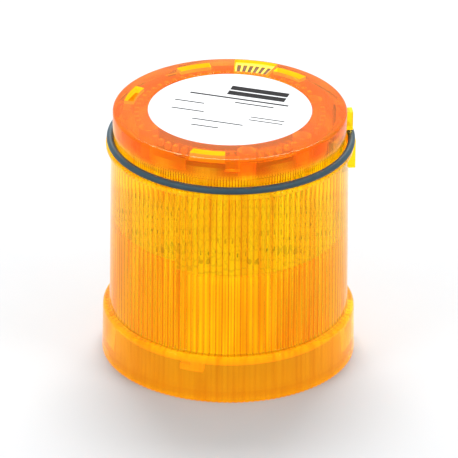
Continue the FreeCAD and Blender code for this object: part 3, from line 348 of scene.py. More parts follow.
@dataclass(frozen=True)
class LabelFilm(Finish):
    """White label film with plain printed rules and bars in place of any lettering."""

    ink: Colour = (0.004, 0.004, 0.005)
    turn: float = -17.0
    # centre x, centre y, half width, half height of each bar, in millimetres
    bars: tuple[Four, ...] = (
        (4.5, 13.2, 8.2, 1.25),
        (4.5, 10.1, 8.2, 1.25),
        (0.5, 6.9, 14.0, 0.42),
        (5.5, 4.6, 5.5, 0.32),
        (-12.0, 1.4, 4.2, 0.28),
        (11.5, -2.8, 4.8, 0.24),
        (11.5, -4.6, 4.8, 0.24),
        (-11.0, -3.6, 4.6, 0.28),
        (-1.0, -8.4, 7.2, 0.28),
        (-3.5, -12.0, 3.8, 0.28),
    )

    def pattern(self, tree: Tree, colour: Socket, spot: Socket) -> Socket:
        """Prints the bars over the film."""
        mapping = tree.add("Mapping", vector_type="POINT")
        mapping.inputs["Rotation"].default_value = (0, 0, math.radians(-self.turn))
        tree.link(spot, mapping.inputs["Vector"])
        ink: object = 0.0
        for x, y, half_x, half_y in self.bars:
            bar = tree.group(BAR, Vector=mapping.outputs["Vector"], Centre_X=x * MM,
                             Centre_Y=y * MM, Half_X=half_x * MM, Half_Y=half_y * MM)
            ink = tree.math("MAXIMUM", ink, bar.outputs["Mask"])
        return tree.mix(ink, colour, (*self.ink, 1))


@dataclass(frozen=True)
class BoardMask(Finish):
    """White solder mask with faint copper tracks under it."""

    track: Colour = (0.62, 0.58, 0.44)
    cells: float = 210.0
    border: Pair = (0.05, 0.09)
    rise: float = 4.0

    def pattern(self, tree: Tree, colour: Socket, spot: Socket) -> Socket:
        """Draws the tracks."""
        return tree.mix(self.tracks(tree, spot), colour, (*self.track, 1))

    def relief(self, tree: Tree, height: Socket, spot: Socket) -> Socket:
        """Raises the tracks."""
        raised = tree.math("MULTIPLY", self.tracks(tree, spot), self.rise)
        return tree.math("ADD", height, raised)

    def tracks(self, tree: Tree, spot: Socket) -> Socket:
        """Mask of a board's tracks, as cell borders."""
        cells = tree.add("TexVoronoi", feature="DISTANCE_TO_EDGE")
        cells.inputs["Scale"].default_value = self.cells
        tree.link(spot, cells.inputs["Vector"])
        return tree.remap(cells.outputs["Distance"], *self.border, 1.0, 0.0)


@dataclass(frozen=True)
class Band:
    """A band of upright lines between two heights in metres.

    With a count of 0 it is the whole band, and with a count of 1 one soft patch, centred on a
    direction in degrees.
    """

    count: float
    width: float
    low: float
    high: float
    strength: float
    colour: Colour
    direction: float = 0.0

    def mask(self, tree: Tree, spot: Socket) -> Socket:
        """Returns where the band's lines are, times its strength."""
        ribs = tree.group(RIBS, Vector=spot, Count=self.count, Width=self.width, Low=self.low,
                          High=self.high, Offset=-self.count * self.direction / 360)
        return tree.math("MULTIPLY", ribs.outputs["Mask"], self.strength)


@dataclass(frozen=True)
class RibbedPlastic(Finish):
    """Moulded plastic whose upright ribs show as deeper lines, with painted shade at its sides and
    a painted glow at its foot.
    """

    line: Colour = LINE
    deep: Colour = (1.0, 0.2, 0.012)
    # where the deeper colour starts and is full, in metres
    deepens: Pair = (1.0, 1.1)
    pale: Colour = (1.0, 0.64, 0.02)
    # where the paler foot and its painted glow are full and end, in metres
    pales: Pair = (-1.1, -1.0)
    side: Colour = (1.0, 0.52, 0.02)
    # painted shade: how far to either side the darker side colour starts and is full, in metres
    sides: Pair = (1.0, 1.1)
    # strength, scale and upright stretch of the drawn streaks, and where their noise fades in
    streak: float = 0.0
    streak_scale: float = 420.0
    streak_stretch: float = 0.06
    streak_range: Pair = (0.46, 0.68)
    # colour and share of the painted glow at the foot, standing in for light coming through where
    # the socket behind it is empty
    painted_foot_glow: Colour = (2.2, 0.9, 0.03)
    painted_foot_share: float = 0.8
    bands: tuple[Band, ...] = ()

    def pattern(self, tree: Tree, colour: Socket, spot: Socket) -> Socket:
        """Paints shade over the left and right sides, deepens the colour along the ribs and over
        the rim, and draws the bands.
        """
        split = tree.add("SeparateXYZ")
        tree.link(spot, split.inputs[0])
        aside = tree.math("ABSOLUTE", split.outputs["X"])
        share = tree.remap(aside, *self.sides, 0.0, 1.0)
        colour = tree.mix(share, colour, (*self.side, 1))
        share = tree.remap(split.outputs["Z"], *self.pales, 1.0, 0.0)
        colour = tree.mix(share, colour, (*self.pale, 1))
        share = tree.remap(split.outputs["Z"], *self.deepens, 0.0, 1.0)
        colour = tree.mix(share, colour, (*self.deep, 1))
        if self.streak > 0:
            drawn = tree.add("Mapping")
            drawn.inputs["Scale"].default_value = (1.0, 1.0, self.streak_stretch)
            tree.link(spot, drawn.inputs["Vector"])
            grain = tree.noise(drawn.outputs["Vector"], self.streak_scale, 2.0)
            share = tree.remap(grain, *self.streak_range, 0.0, self.streak)
            colour = tree.mix(share, colour, (*self.line, 1))
        for band in self.bands:
            colour = tree.mix(band.mask(tree, spot), colour, (*band.colour, 1))
        return colour

    def painted_glow_colour(self, tree: Tree, colour: Socket, spot: Socket) -> Socket:
        """Paints a glow at the foot, standing in for light coming through where the socket behind
        it is empty.
        """
        split = tree.add("SeparateXYZ")
        tree.link(spot, split.inputs[0])
        share = tree.remap(split.outputs["Z"], *self.pales, self.painted_foot_share, 0.0)
        return tree.mix(share, colour, (*self.painted_foot_glow, 1))


# what the clear parts of the lens have in common
CLEAR_AMBER = {"scuff": 0.1, "bump": 0.01, "ior": 1.25, "gloss_tint": GLOSS_AMBER,
               "depth_tint": DEPTH_AMBER}

# painted glints: paler patches in the top ring that stand in for glints of light; direction in
# degrees, width, lower and upper height in millimetres, and strength of each patch
PAINTED_GLINTS = tuple(
    Band(1.0, width, low * MM, high * MM, strength, PAINTED_GLINT, direction)
    for direction, width, low, high, strength in (
        (-102.0, 0.07, 66.0, 69.9, 0.9),
        (-124.0, 0.05, 66.6, 70.2, 0.6),
        (-64.0, 0.06, 66.9, 70.0, 0.55),
        (-27.0, 0.05, 66.4, 70.1, 0.6),
        (31.0, 0.07, 63.0, 69.8, 0.6),
        (96.0, 0.06, 66.6, 70.1, 0.6),
        (143.0, 0.07, 63.0, 69.8, 0.6),
        (-171.0, 0.05, 66.7, 70.0, 0.6),
    ))


class Finishes(Enum):
    """Every finish of the element."""

    # painted glow: the lens's emission (glow) lifts its brightness, though it is no lamp
    LENS = RibbedPlastic("amber_polycarbonate", AMBER, DEEP_AMBER, (0.0, 0.03), scale=60.0,
                         transmission=0.86, specular=0.2, glow=0.11, streak=0.5,
                         depth_density=640.0, deep=(0.82, 0.23, 0.012),
                         pales=(11.8 * MM, 12.8 * MM), deepens=(66.3 * MM, 67.8 * MM),
                         bands=(Band(0.0, 0.5, 1.6 * MM, 3.4 * MM, 0.3, LINE),
                                Band(144.0, 0.5, 0.3 * MM, 11.8 * MM, 0.28, LINE),
                                Band(120.0, 0.34, 13.6 * MM, 60.9 * MM, 0.9, LINE),
                                Band(240.0, 0.5, 13.6 * MM, 35.0 * MM, 0.35, LINE),
                                *PAINTED_GLINTS,
                                Band(120.0, 0.34, 66.3 * MM, 70.2 * MM, 0.3, LINE),
                                Band(240.0, 0.55, 62.8 * MM, 66.3 * MM, 0.8, RIB_LINE)),
                         **CLEAR_AMBER)
    # painted glow: a second amber finish with stronger emission for the moulding's additions,
    # standing in for glints of light; they are no lamp
    LENS_EDGE = Finish("glowing_amber_edges", (1.0, 0.74, 0.02), (1.0, 0.66, 0.015), (0.0, 0.04),
                       scale=200.0, transmission=0.7, specular=0.3, glow=0.2,
                       depth_density=400.0, **CLEAR_AMBER)
    # painted glow: an amber finish with strong emission for the faces of the cuts, standing in for
    # light coming through the windows; they are no lamp
    LENS_CUT = Finish("glowing_amber_cuts", (1.0, 0.78, 0.02), (1.0, 0.70, 0.015), (0.0, 0.04),
                      scale=200.0, transmission=0.6, specular=0.3, glow=0.5,
                      depth_density=400.0, **CLEAR_AMBER)
    RUBBER = Finish("seal_rubber", (0.011, 0.046, 0.068), (0.008, 0.036, 0.054), (0.42, 0.6),
                    scale=400.0, scuff=0.2, bump=0.25)
    LABEL = LabelFilm("label_film", (0.52, 0.53, 0.54), (0.50, 0.51, 0.52), (0.45, 0.6),
                      scale=90.0, scuff=0.1, bump=0.05, specular=0.08)
    # painted shade: the carrier's sides and side colour darken its left and right, though it is
    # the same plastic all round
    CARRIER = RibbedPlastic("amber_carrier", (1.0, 0.93, 0.2), (1.0, 0.84, 0.12), (0.25, 0.4),
                            scale=120.0, bump=0.08, sides=(10.5 * MM, 13.0 * MM),
                            side=(0.78, 0.17, 0.006),
                            bands=(Band(240.0, 0.6, 12.0 * MM, 40.0 * MM, 0.8,
                                        (0.95, 0.42, 0.01)),))
    PLATE = Finish("amber_plate", (1.0, 0.70, 0.04), (0.98, 0.60, 0.03), (0.25, 0.4),
                   scale=120.0, bump=0.08)
    INSULATOR = Finish("yellow_insulator", (0.98, 0.62, 0.01), (0.95, 0.52, 0.01), (0.3, 0.45),
                       scale=300.0, bump=0.06)
    BRONZE = Finish("contact_bronze", (0.16, 0.07, 0.02), (0.08, 0.035, 0.012), (0.25, 0.42),
                    metallic=0.8, scale=500.0, scuff=0.6, bump=0.08)
    PLATING = Finish("pin_plating", (0.83, 0.62, 0.28), (0.72, 0.52, 0.22), (0.16, 0.3),
                     metallic=1.0, scale=900.0, scuff=0.4, bump=0.05)
    STEEL = Finish("spring_steel", (0.55, 0.55, 0.56), (0.42, 0.42, 0.43), (0.22, 0.4),
                   metallic=1.0, scale=900.0, scuff=0.5, bump=0.08)
    ZINC = Finish("zinc_screws", (0.62, 0.63, 0.66), (0.5, 0.5, 0.52), (0.25, 0.45),
                  metallic=1.0, scale=500.0, scuff=0.7, bump=0.08)
    BOARD = BoardMask("board_mask", (0.90, 0.87, 0.78), (0.84, 0.81, 0.71), (0.3, 0.42),
                      scale=90.0, bump=0.12)
    NYLON = Finish("spacer_nylon", (0.80, 0.76, 0.62), (0.72, 0.67, 0.52), (0.4, 0.55),
                   scale=300.0, subsurface=0.1)
    LAMP = Finish("lamp_package", (0.85, 0.83, 0.78), (0.78, 0.75, 0.68), (0.35, 0.5),
                  scale=800.0)
    DOME = Finish("lamp_resin", (1.0, 0.72, 0.25), (1.0, 0.62, 0.16), (0.05, 0.1),
                  scale=500.0, transmission=0.7)
    WHITE = Finish("reflector_white", (0.95, 0.92, 0.85), (0.90, 0.86, 0.78), (0.2, 0.32),
                   scale=60.0, bump=0.03, coat=0.2)
    EPOXY = Finish("black_epoxy", (0.02, 0.02, 0.022), (0.03, 0.03, 0.03), (0.4, 0.6),
                   scale=900.0, bump=0.2)
    SLEEVE = Finish("capacitor_sleeve", (0.025, 0.03, 0.05), (0.02, 0.024, 0.04), (0.22, 0.35),
                    scale=200.0, coat=0.3)
    FERRITE = Finish("ferrite", (0.035, 0.035, 0.037), (0.055, 0.052, 0.05), (0.45, 0.65),
                     scale=700.0, bump=0.3)
    CERAMIC = Finish("ceramic_body", (0.42, 0.28, 0.15), (0.34, 0.22, 0.12), (0.35, 0.5),
                     scale=900.0)

    @property
    def material(self) -> Material:
        """The finish's material, built the first time that it is asked for."""
        made = bpy.data.materials.get(self.value.name)
        return made or self.value.build()


# --- Mesh helpers -----------------------------------------


def place(radius: float, height: float, angle: float = 0.0) -> Vector:
    """A point by its radius, height and direction in degrees."""
    turn = math.radians(angle)
    return Vector((radius * math.cos(turn), radius * math.sin(turn), height))


def profile_loop(bm: BMesh, points: Sequence[Pair]) -> None:
    """Draws a closed outline of (radius, height) corners in the XZ plane."""
    corners = [bm.verts.new(place(radius, height)) for radius, height in points]
    for pair in zip(corners, corners[1:] + corners[:1]):
        bm.edges.new(pair)


def round_corners(bm: BMesh, spots: dict[Pair, float], segments: int = 4) -> None:
    """Rounds an outline's (radius, height) corners, each by its own radius."""
    for (radius, height), size in spots.items():
        near = [v for v in bm.verts if (v.co - place(radius, height)).length < 1e-7]
        bmesh.ops.bevel(bm, geom=near, offset=size, offset_type="OFFSET", affect="VERTICES",
                        segments=segments, profile=0.5, material=-1)


def spin_round(bm: BMesh, steps: int) -> None:
    """Spins all that a mesh holds once round the Z axis, and closes it."""
    bmesh.ops.spin(bm, geom=bm.verts[:] + bm.edges[:], cent=ORIGIN, axis=AXIS,
                   angle=math.tau, steps=steps, use_merge=True)
    bmesh.ops.remove_doubles(bm, verts=bm.verts[:], dist=1e-8)
    loose = [f for f in bm.faces if f.calc_area() < 1e-14]
    bmesh.ops.delete(bm, geom=loose, context="FACES_ONLY")
    bmesh.ops.recalc_face_normals(bm, faces=bm.faces[:])


def add_sector(bm: BMesh, radii: Pair, heights: Pair, start: float, sweep: float) -> None:
    """Adds a closed annular block.

    Args:
        bm: the mesh that is added to.
        radii: inner and outer radius.
        heights: lower and upper height.
        start: direction of its first side, in degrees.
        sweep: its angular width, in degrees.
    """
    (inner, outer), (low, high) = radii, heights
    corners = [(inner, low), (outer, low), (outer, high), (inner, high)]
    verts = [bm.verts.new(place(radius, height, start)) for radius, height in corners]
    face = bm.faces.new(verts)
    steps = max(2, round(sweep / 1.5))
    bmesh.ops.spin(bm, geom=[face], cent=ORIGIN, axis=AXIS, angle=math.radians(sweep),
                   steps=steps)
    bmesh.ops.recalc_face_normals(bm, faces=bm.faces[:])


def add_cylinder(bm: BMesh, radius: float, depth: float, middle: Vector, segments: int) -> None:
    """Adds a closed upright cylinder round its middle."""
    bmesh.ops.create_cone(bm, cap_ends=True, segments=segments, radius1=radius, radius2=radius,
                          depth=depth, matrix=Matrix.Translation(middle))


def finish_piece(bm: BMesh, name: str, finish: Finishes, sharp: float = 30.0) -> Object:
    """Makes an object of a mesh, with smooth shading up to an angle.

    Args:
        bm: the mesh, which is freed.
        name: the piece's name.
        finish: its finish.
        sharp: angle in degrees from which an edge stays sharp.

    Returns:
        The object, with its place in its mesh.
    """
    mesh = bpy.data.meshes.new(name)
    bm.to_mesh(mesh)
    bm.free()
    mesh.shade_smooth()
    mesh.set_sharp_from_angle(angle=math.radians(sharp))
    piece = bpy.data.objects.new(name, mesh)
    bpy.context.scene.collection.objects.link(piece)
    mesh.materials.append(finish.material)
    return piece


def combine(piece: Object, tool: Object, operation: str) -> None:
    """Adds a tool's shape to a piece, or cuts it out, and removes the tool.

    Args:
        piece: the piece that changes.
        tool: closed shapes that don't overlap each other.
        operation: UNION or DIFFERENCE.
    """
    modifier = piece.modifiers.new("combine", "BOOLEAN")
    modifier.operation = operation
    modifier.solver = "EXACT"
    modifier.object = tool
    modifier.material_mode = "TRANSFER"
    bpy.context.view_layer.update()
    evaluated = piece.evaluated_get(bpy.context.evaluated_depsgraph_get())
    result = bpy.data.meshes.new_from_object(evaluated)
    piece.modifiers.clear()
    old = piece.data
    piece.data = result
    bpy.data.meshes.remove(old)
    bpy.data.objects.remove(tool)


def register(piece: Object, node: str) -> None:
    """Attaches a finished piece to the module, and hides the CAD node that it stands for.

    Args:
        piece: the piece.
        node: the CAD node that it stands for.
    """
    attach(piece, MODULE)
    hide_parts(node)
    log.info("built %s: %d faces", piece.name, len(piece.data.polygons))


def dress_node(node: str, finish: Finishes) -> None:
    """Gives a CAD node its finish and keeps its mesh."""
    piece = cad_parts[node]
    if not piece.material_slots:
        piece.data.materials.append(finish.material)
    for slot in piece.material_slots:
        slot.material = finish.material
    log.info("dressed %s", node)


# --- The lens housing -------------------------------------


@dataclass
class LensHousing:
    """The amber moulding, from its serrated collar to the top face."""

    collar: Pair = (35.0 * MM, 34.77 * MM)
    collar_height: float = 13.45 * MM
    body: Pair = (32.9 * MM, 32.65 * MM)
    body_foot: float = 13.95 * MM
    wall: float = 2.2 * MM
    flange_radius: float = 33.86 * MM
    flange: Pair = (61.2 * MM, 62.6 * MM)
    neck_radius: float = 31.6 * MM
    rim_radius: float = 32.0 * MM
    rim_start: float = 66.6 * MM
    top: float = 72.3 * MM
    top_wall: float = 2.0 * MM
    recess: Pair = (22.6 * MM, 71.85 * MM)
    land: Pair = (33.7 * MM, 2.0 * MM)
    socket: Pair = (32.35 * MM, 12.3 * MM)
    land_ramp: float = 1.5 * MM
    columns: int = 720
    sharp: float = 26.0
    hub: float = 1.0 * MM
    flutes: int = 120
    flute_depth: float = 0.35 * MM
    flute_power: float = 0.6
    neck_ribs: int = 240
    rib_depth: float = 0.18 * MM
    rib_band: Pair = (61.9 * MM, 66.0 * MM)
    teeth: int = 144
    tooth_depth: float = 0.3 * MM
    tooth_slope: float = 2.6
    window: Pair = (26.6 * MM, 29.2 * MM)
    window_sweep: float = 19.0
    windows: tuple[float, ...] = (54.0, 111.0, 162.0, 258.0)
    # the window with no stop beside it, since the contact guide is there
    open_window: float = 54.0
    # how far additions and cuts reach into the top wall, and cuts past its face
    sink: float = 0.3 * MM
    cut_over: float = 0.5 * MM
    # inner and outer radius, first direction and sweep in degrees
    guide: Four = (23.5 * MM, 31.05 * MM, 65.29, 22.42)
    # first direction and sweep of the key and its mark, in degrees
    key: Pair = (4.25, 5.5)
    key_radius: float = 33.75 * MM
    key_lift: float = 2.3 * MM
    key_height: float = 5.3 * MM
    mark_radius: float = 34.6 * MM
    mark_drop: float = 7.9 * MM
    mark_rise: float = 0.45 * MM
    keyway: Pair = (31.65 * MM, 34.1 * MM)
    # lower and upper height, first direction and sweep of each step of the keyway
    keyway_steps: tuple[Four, ...] = (
        (-0.35 * MM, 7.95 * MM, -4.35, 6.69), (1.95 * MM, 7.95 * MM, 2.34, 8.0))
    rail_depth: float = 0.3 * MM
    rail_root: float = 0.4 * MM
    rail_drop: float = 3.4 * MM
    rail_lead: float = 24.0
    rail_sweep: float = 22.0
    stop_inset: float = 0.6 * MM
    stop_drop: float = 2.4 * MM
    stop_gap: float = 0.4
    stop_sweep: float = 7.6
    bosses: tuple[float, ...] = (20.0, -36.0, -79.0, -156.0)
    boss_circle: float = 24.2 * MM
    boss_foot: float = 63.8 * MM
    boss_height: float = 6.8 * MM
    boss_radius: float = 2.5 * MM
    bore_radius: float = 1.15 * MM
    bore_depth: float = 3.8 * MM
    bore_middle: float = 1.4 * MM
    comb: Pair = (24.9 * MM, 26.1 * MM)
    comb_count: int = 60
    comb_drop: float = 1.4 * MM
    comb_sweep: float = 2.6
    # how far the comb stays clear of a boss and of the guide: lead and sweep, in degrees
    boss_room: Pair = (9.0, 15.5)
    guide_room: Pair = (5.0, 7.0)

    def build(self) -> None:
        bm = bmesh.new()
        self.draw_outline(bm)
        spin_round(bm, self.columns)
        self.shape_columns(bm)
        piece = finish_piece(bm, "lens_moulding", Finishes.LENS)
        combine(piece, self.additions(), "UNION")
        combine(piece, self.cuts(), "DIFFERENCE")
        piece.data.shade_smooth()
        piece.data.set_sharp_from_angle(angle=math.radians(self.sharp))
        register(piece, "lens_housing")

    def draw_outline(self, bm: BMesh) -> None:
        """Draws the wall's section, with its rounded edges."""
        bore, bore_top = self.body[0] - self.wall, self.body[1] - self.wall
        neck_bore = self.neck_radius - self.wall
        ceiling = self.top - self.top_wall
        recess_radius, recess_floor = self.recess
        land_radius, land_top = self.land
        socket_radius, plate_top = self.socket
        tooth_root = (land_radius + self.collar[0]) / 2
        throat = self.flange[0] - bore_top + neck_bore
        shoulder = (self.collar[1], self.collar_height)
        outside = [
            (land_radius, 0.0),
            (tooth_root, 0.0),
            (self.collar[0], 0.0),
            (self.collar[0], self.tooth_depth * 1.4),
            shoulder,
            (self.body[0], self.body_foot),
            (self.body[1], self.flange[0]),
            (self.flange_radius, self.flange[0]),
            (self.flange_radius, self.flange[1]),
            (self.neck_radius, self.flange[1]),
            (self.neck_radius, self.rim_start - self.rim_radius + self.neck_radius),
            (self.rim_radius, self.rim_start),
            (self.rim_radius, self.top),
            (recess_radius, self.top),
            (recess_radius, recess_floor),
        ]
        inside = [
            (self.hub, recess_floor),
            (self.hub, ceiling),
            (neck_bore, ceiling),
            (neck_bore, self.rib_band[1] + self.rib_depth),
            (neck_bore, self.rib_band[1]),
            (neck_bore, self.rib_band[0]),
            (neck_bore, self.rib_band[0] - self.rib_depth),
            (neck_bore, self.flange[0]),
            (bore_top, throat),
            (bore, plate_top + 0.3 * MM),
            (bore, plate_top),
            (socket_radius, plate_top),
            (socket_radius, land_top + self.land_ramp),
            (land_radius, land_top),
        ]
        profile_loop(bm, outside + inside)
        rounding = {
            shoulder: 0.9 * MM,
            (self.body[0], self.body_foot): 0.35 * MM,
            (self.body[1], self.flange[0]): 0.25 * MM,
            (self.flange_radius, self.flange[0]): 0.45 * MM,
            (self.flange_radius, self.flange[1]): 0.45 * MM,
            (self.neck_radius, self.flange[1]): 0.2 * MM,
            (self.rim_radius, self.top): 0.8 * MM,
            (recess_radius, self.top): 0.12 * MM,
            (neck_bore, ceiling): 0.3 * MM,
        }
        round_corners(bm, rounding)

    def shape_columns(self, bm: BMesh) -> None:
        """Presses the flutes, the neck's ribs and the teeth into the spun wall."""
        bore, bore_top = self.body[0] - self.wall, self.body[1] - self.wall
        neck_bore = self.neck_radius - self.wall
        throat = self.flange[0] - bore_top + neck_bore
        low_bore = self.socket[1] + 0.2 * MM
        tooth_root = (self.land[0] + self.collar[0]) / 2 + 0.01 * MM
        small = 0.02 * MM
        for vert in bm.verts:
            radius = math.hypot(vert.co.x, vert.co.y)
            turn = math.atan2(vert.co.y, vert.co.x) / math.tau
            height = vert.co.z
            push = 0.0
            if low_bore < height < throat + small and bore_top - small < radius < bore + small:
                wave = abs(math.sin(math.pi * turn * self.flutes))
                push = self.flute_depth * (1 - wave ** self.flute_power)
            in_ribs = self.rib_band[0] - small < height < self.rib_band[1] + small
            if in_ribs and abs(radius - neck_bore) < small:
                wave = abs(math.sin(math.pi * turn * self.neck_ribs))
                push = self.rib_depth * (1 - wave)
            if push > 0:
                vert.co.x *= (radius + push) / radius
                vert.co.y *= (radius + push) / radius
            if height < small and radius > tooth_root:
                wave = (turn * self.teeth) % 1.0
                slope = 1 - self.tooth_slope * min(wave, 1 - wave)
                vert.co.z += self.tooth_depth * max(0.0, slope)

    def additions(self) -> Object:
        """The key, its mark, the bosses, the comb, and the rails and stops inside the neck."""
        bm = bmesh.new()
        root = self.neck_radius - self.wall / 2
        key_floor = self.flange[1] + self.key_lift
        key_heights = (key_floor, key_floor + self.key_height)
        add_sector(bm, (root, self.key_radius), key_heights, *self.key)
        mark_heights = (self.flange[0] - self.mark_drop, self.flange[0] + self.mark_rise)
        add_sector(bm, (root, self.mark_radius), mark_heights, *self.key)
        neck_bore = self.neck_radius - self.wall
        ceiling = self.top - self.top_wall
        rail = (neck_bore - self.rail_depth, neck_bore + self.rail_root)
        stop = (self.window[0] + self.stop_inset, neck_bore + self.rail_root)
        for centre in self.windows:
            first = centre - self.window_sweep / 2
            add_sector(bm, rail, (ceiling - self.rail_drop, ceiling + self.sink),
                       first - self.rail_lead, self.rail_sweep)
            if centre != self.open_window:
                add_sector(bm, stop, (ceiling - self.stop_drop, ceiling + self.sink),
                           first + self.window_sweep + self.stop_gap, self.stop_sweep)
        middle = self.boss_foot + self.boss_height / 2
        for angle in self.bosses:
            add_cylinder(bm, self.boss_radius, self.boss_height,
                         place(self.boss_circle, middle, angle), 40)
        for direction in self.comb_directions():
            add_sector(bm, self.comb, (ceiling - self.comb_drop, ceiling + self.sink), direction,
                       self.comb_sweep)
        # the additions take the glowing edge finish, whose emission is painted glow
        return finish_piece(bm, "moulded_additions", Finishes.LENS_EDGE)

    def comb_directions(self) -> list[float]:
        """Lists where the comb's teeth start, in degrees, clear of the bosses and the guide."""
        lead, room = self.boss_room
        taken = [(angle - lead, room) for angle in self.bosses]
        taken.append((self.guide[2] - self.guide_room[0], self.guide[3] + self.guide_room[1]))
        starts = [index * 360 / self.comb_count for index in range(self.comb_count)]
        return [start for start in starts
                if all((start - first) % 360 > sweep for first, sweep in taken)]

    def cuts(self) -> Object:
        """The bayonet windows, the contact guide's window, the keyway and the boss bores."""
        bm = bmesh.new()
        ceiling = self.top - self.top_wall
        above = self.top + self.cut_over
        for centre in self.windows:
            add_sector(bm, self.window, (ceiling - self.sink, above),
                       centre - self.window_sweep / 2, self.window_sweep)
        inner, outer, start, sweep = self.guide
        add_sector(bm, (inner, outer), (ceiling, above), start, sweep)
        for low, high, start, sweep in self.keyway_steps:
            add_sector(bm, self.keyway, (low, high), start, sweep)
        for angle in self.bosses:
            middle = place(self.boss_circle, self.boss_foot + self.bore_middle, angle)
            add_cylinder(bm, self.bore_radius, self.bore_depth, middle, 32)
        # the cuts take the glowing cut finish, whose emission is painted glow
        return finish_piece(bm, "moulded_cuts", Finishes.LENS_CUT)


@dataclass
class SealRing:
    """The rubber ring on the flange, with the fine parting line of its mould."""

    section: float = 1.0 * MM
    steps: int = 240
    seam: float = 0.02 * MM

    def build(self) -> None:
        low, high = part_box("seal_ring")
        centre = (low + high) / 2
        outer = (high.x - low.x) / 2
        bm = bmesh.new()
        middle = place(outer - self.section, 0.0)
        bmesh.ops.create_circle(bm, segments=28, radius=self.section,
                                matrix=Matrix.Translation(middle) @ Matrix.Rotation(
                                    math.pi / 2, 4, "X"))
        seam = [v for v in bm.verts if abs(v.co.z) < 1e-6 and v.co.x > middle.x]
        bmesh.ops.translate(bm, verts=seam, vec=Vector((-self.seam, 0, 0)))
        spin_round(bm, self.steps)
        bmesh.ops.translate(bm, verts=bm.verts[:], vec=centre)
        piece = finish_piece(bm, "rubber_seal", Finishes.RUBBER, 60.0)
        register(piece, "seal_ring")


@dataclass
class TopLabel:
    """The round label, with a rounded edge."""

    steps: int = 180

    def build(self) -> None:
        low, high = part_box("rating_label")
        bm = bmesh.new()
        bmesh.ops.create_circle(bm, cap_ends=True, segments=self.steps, radius=high.x,
                                matrix=Matrix.Translation((0, 0, low.z)))
        made = bmesh.ops.extrude_face_region(bm, geom=bm.faces[:])
        lifted = [v for v in made["geom"] if isinstance(v, BMVert)]
        bmesh.ops.translate(bm, verts=lifted, vec=Vector((0, 0, high.z - low.z)))
        rim = [e for e in bm.edges if all(abs(v.co.z - high.z) < 1e-7 for v in e.verts)]
        bmesh.ops.bevel(bm, geom=rim, offset=0.05 * MM, offset_type="OFFSET", affect="EDGES",
                        segments=2, profile=0.5, material=-1)
        bmesh.ops.recalc_face_normals(bm, faces=bm.faces[:])
        piece = finish_piece(bm, "label_disc", Finishes.LABEL)
        register(piece, "rating_label")


@dataclass
class SideStrip:
    """The bronze strip beside the key: a wide head with a folded edge, and its narrow tail."""

    radii: Pair = (28.6 * MM, 29.0 * MM)
    fold: Pair = (25.9 * MM, 28.6 * MM)
    head: Pair = (3.5, 7.0)
    fold_sweep: float = 0.7
    tail: Pair = (4.8, 4.4)
    shoulder: float = 53.0 * MM
    fold_top: float = 61.8 * MM

    def build(self) -> None:
        low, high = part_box("side_contact_strip")
        bm = bmesh.new()
        add_sector(bm, self.radii, (self.shoulder, high.z), *self.head)
        add_sector(bm, self.radii, (low.z, self.shoulder), *self.tail)
        add_sector(bm, self.fold, (self.shoulder, self.fold_top), self.head[0], self.fold_sweep)
        piece = finish_piece(bm, "side_strip_folded", Finishes.BRONZE)
        register(piece, "side_contact_strip")


@dataclass
class ContactSprings:
    """The coil springs behind the contact pins, each pressed together by its own pin."""

    wire: float = 0.08 * MM
    turns: int = 6
    steps: int = 24

    def build(self) -> None:
        """Builds every spring where its CAD node lies."""
        for node in sorted(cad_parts):
            if node.startswith("contact_spring"):
                self.build_spring(node)

    def build_spring(self, node: str) -> None:
        """Builds the spring of a CAD node."""
        low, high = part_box(node)
        centre = (low + high) / 2
        radius = (high.x - low.x) / 2 - self.wire
        rise = high.z - low.z - 2 * self.wire
        count = self.turns * self.steps
        bm = bmesh.new()
        spot = Matrix.Translation((centre.x + radius, centre.y, low.z + self.wire))
        bmesh.ops.create_circle(bm, cap_ends=True, segments=8, radius=self.wire,
                                matrix=spot @ Matrix.Rotation(math.pi / 2, 4, "X"))
        bmesh.ops.spin(bm, geom=bm.faces[:], cent=centre, axis=AXIS,
                       angle=math.tau * self.turns, steps=count,
                       dvec=Vector((0, 0, rise / count)))
        bmesh.ops.recalc_face_normals(bm, faces=bm.faces[:])
        piece = finish_piece(bm, node.replace("contact_spring", "pin_coil"), Finishes.STEEL)
        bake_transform(piece)
        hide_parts(node)
        log.info("built %s", piece.name)


# --- Pieces that keep their CAD shape ---------------------


KEPT_NODES: dict[Finishes, tuple[str, ...]] = {
    Finishes.PLATE: ("base_plate",),
    Finishes.CARRIER: ("inner_carrier",),
    Finishes.ZINC: ("base_screws", "board_screws", "reflector_screws"),
    Finishes.INSULATOR: ("upper_contact_guide", "lower_contact_block"),
    Finishes.BOARD: ("main_board", "lamp_board"),
    Finishes.NYLON: ("board_spacers",),
    Finishes.LAMP: ("lamps",),
    Finishes.DOME: ("lamp_domes",),
    Finishes.WHITE: ("reflector_cone",),
    Finishes.SLEEVE: ("smoothing_capacitor",),
    Finishes.FERRITE: ("supply_choke",),
    Finishes.CERAMIC: ("ceramic_capacitors",),
    Finishes.EPOXY: ("lamp_resistors", "flasher_chip", "lamp_driver", "bridge_rectifier",
                     "surge_diode", "chip_resistors", "board_link"),
}
KEPT_KINDS = {"contact_strip": Finishes.BRONZE, "contact_pin": Finishes.PLATING}


class InnerWorks:
    """Everything inside and under the lens whose CAD shape is kept."""

    def build(self) -> None:
        """Gives each kept node its finish."""
        for finish, nodes in KEPT_NODES.items():
            for node in nodes:
                dress_node(node, finish)
        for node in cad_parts:
            for kind, finish in KEPT_KINDS.items():
                if node.startswith(kind):
                    dress_node(node, finish)


# --- Studio -----------------------------------------------


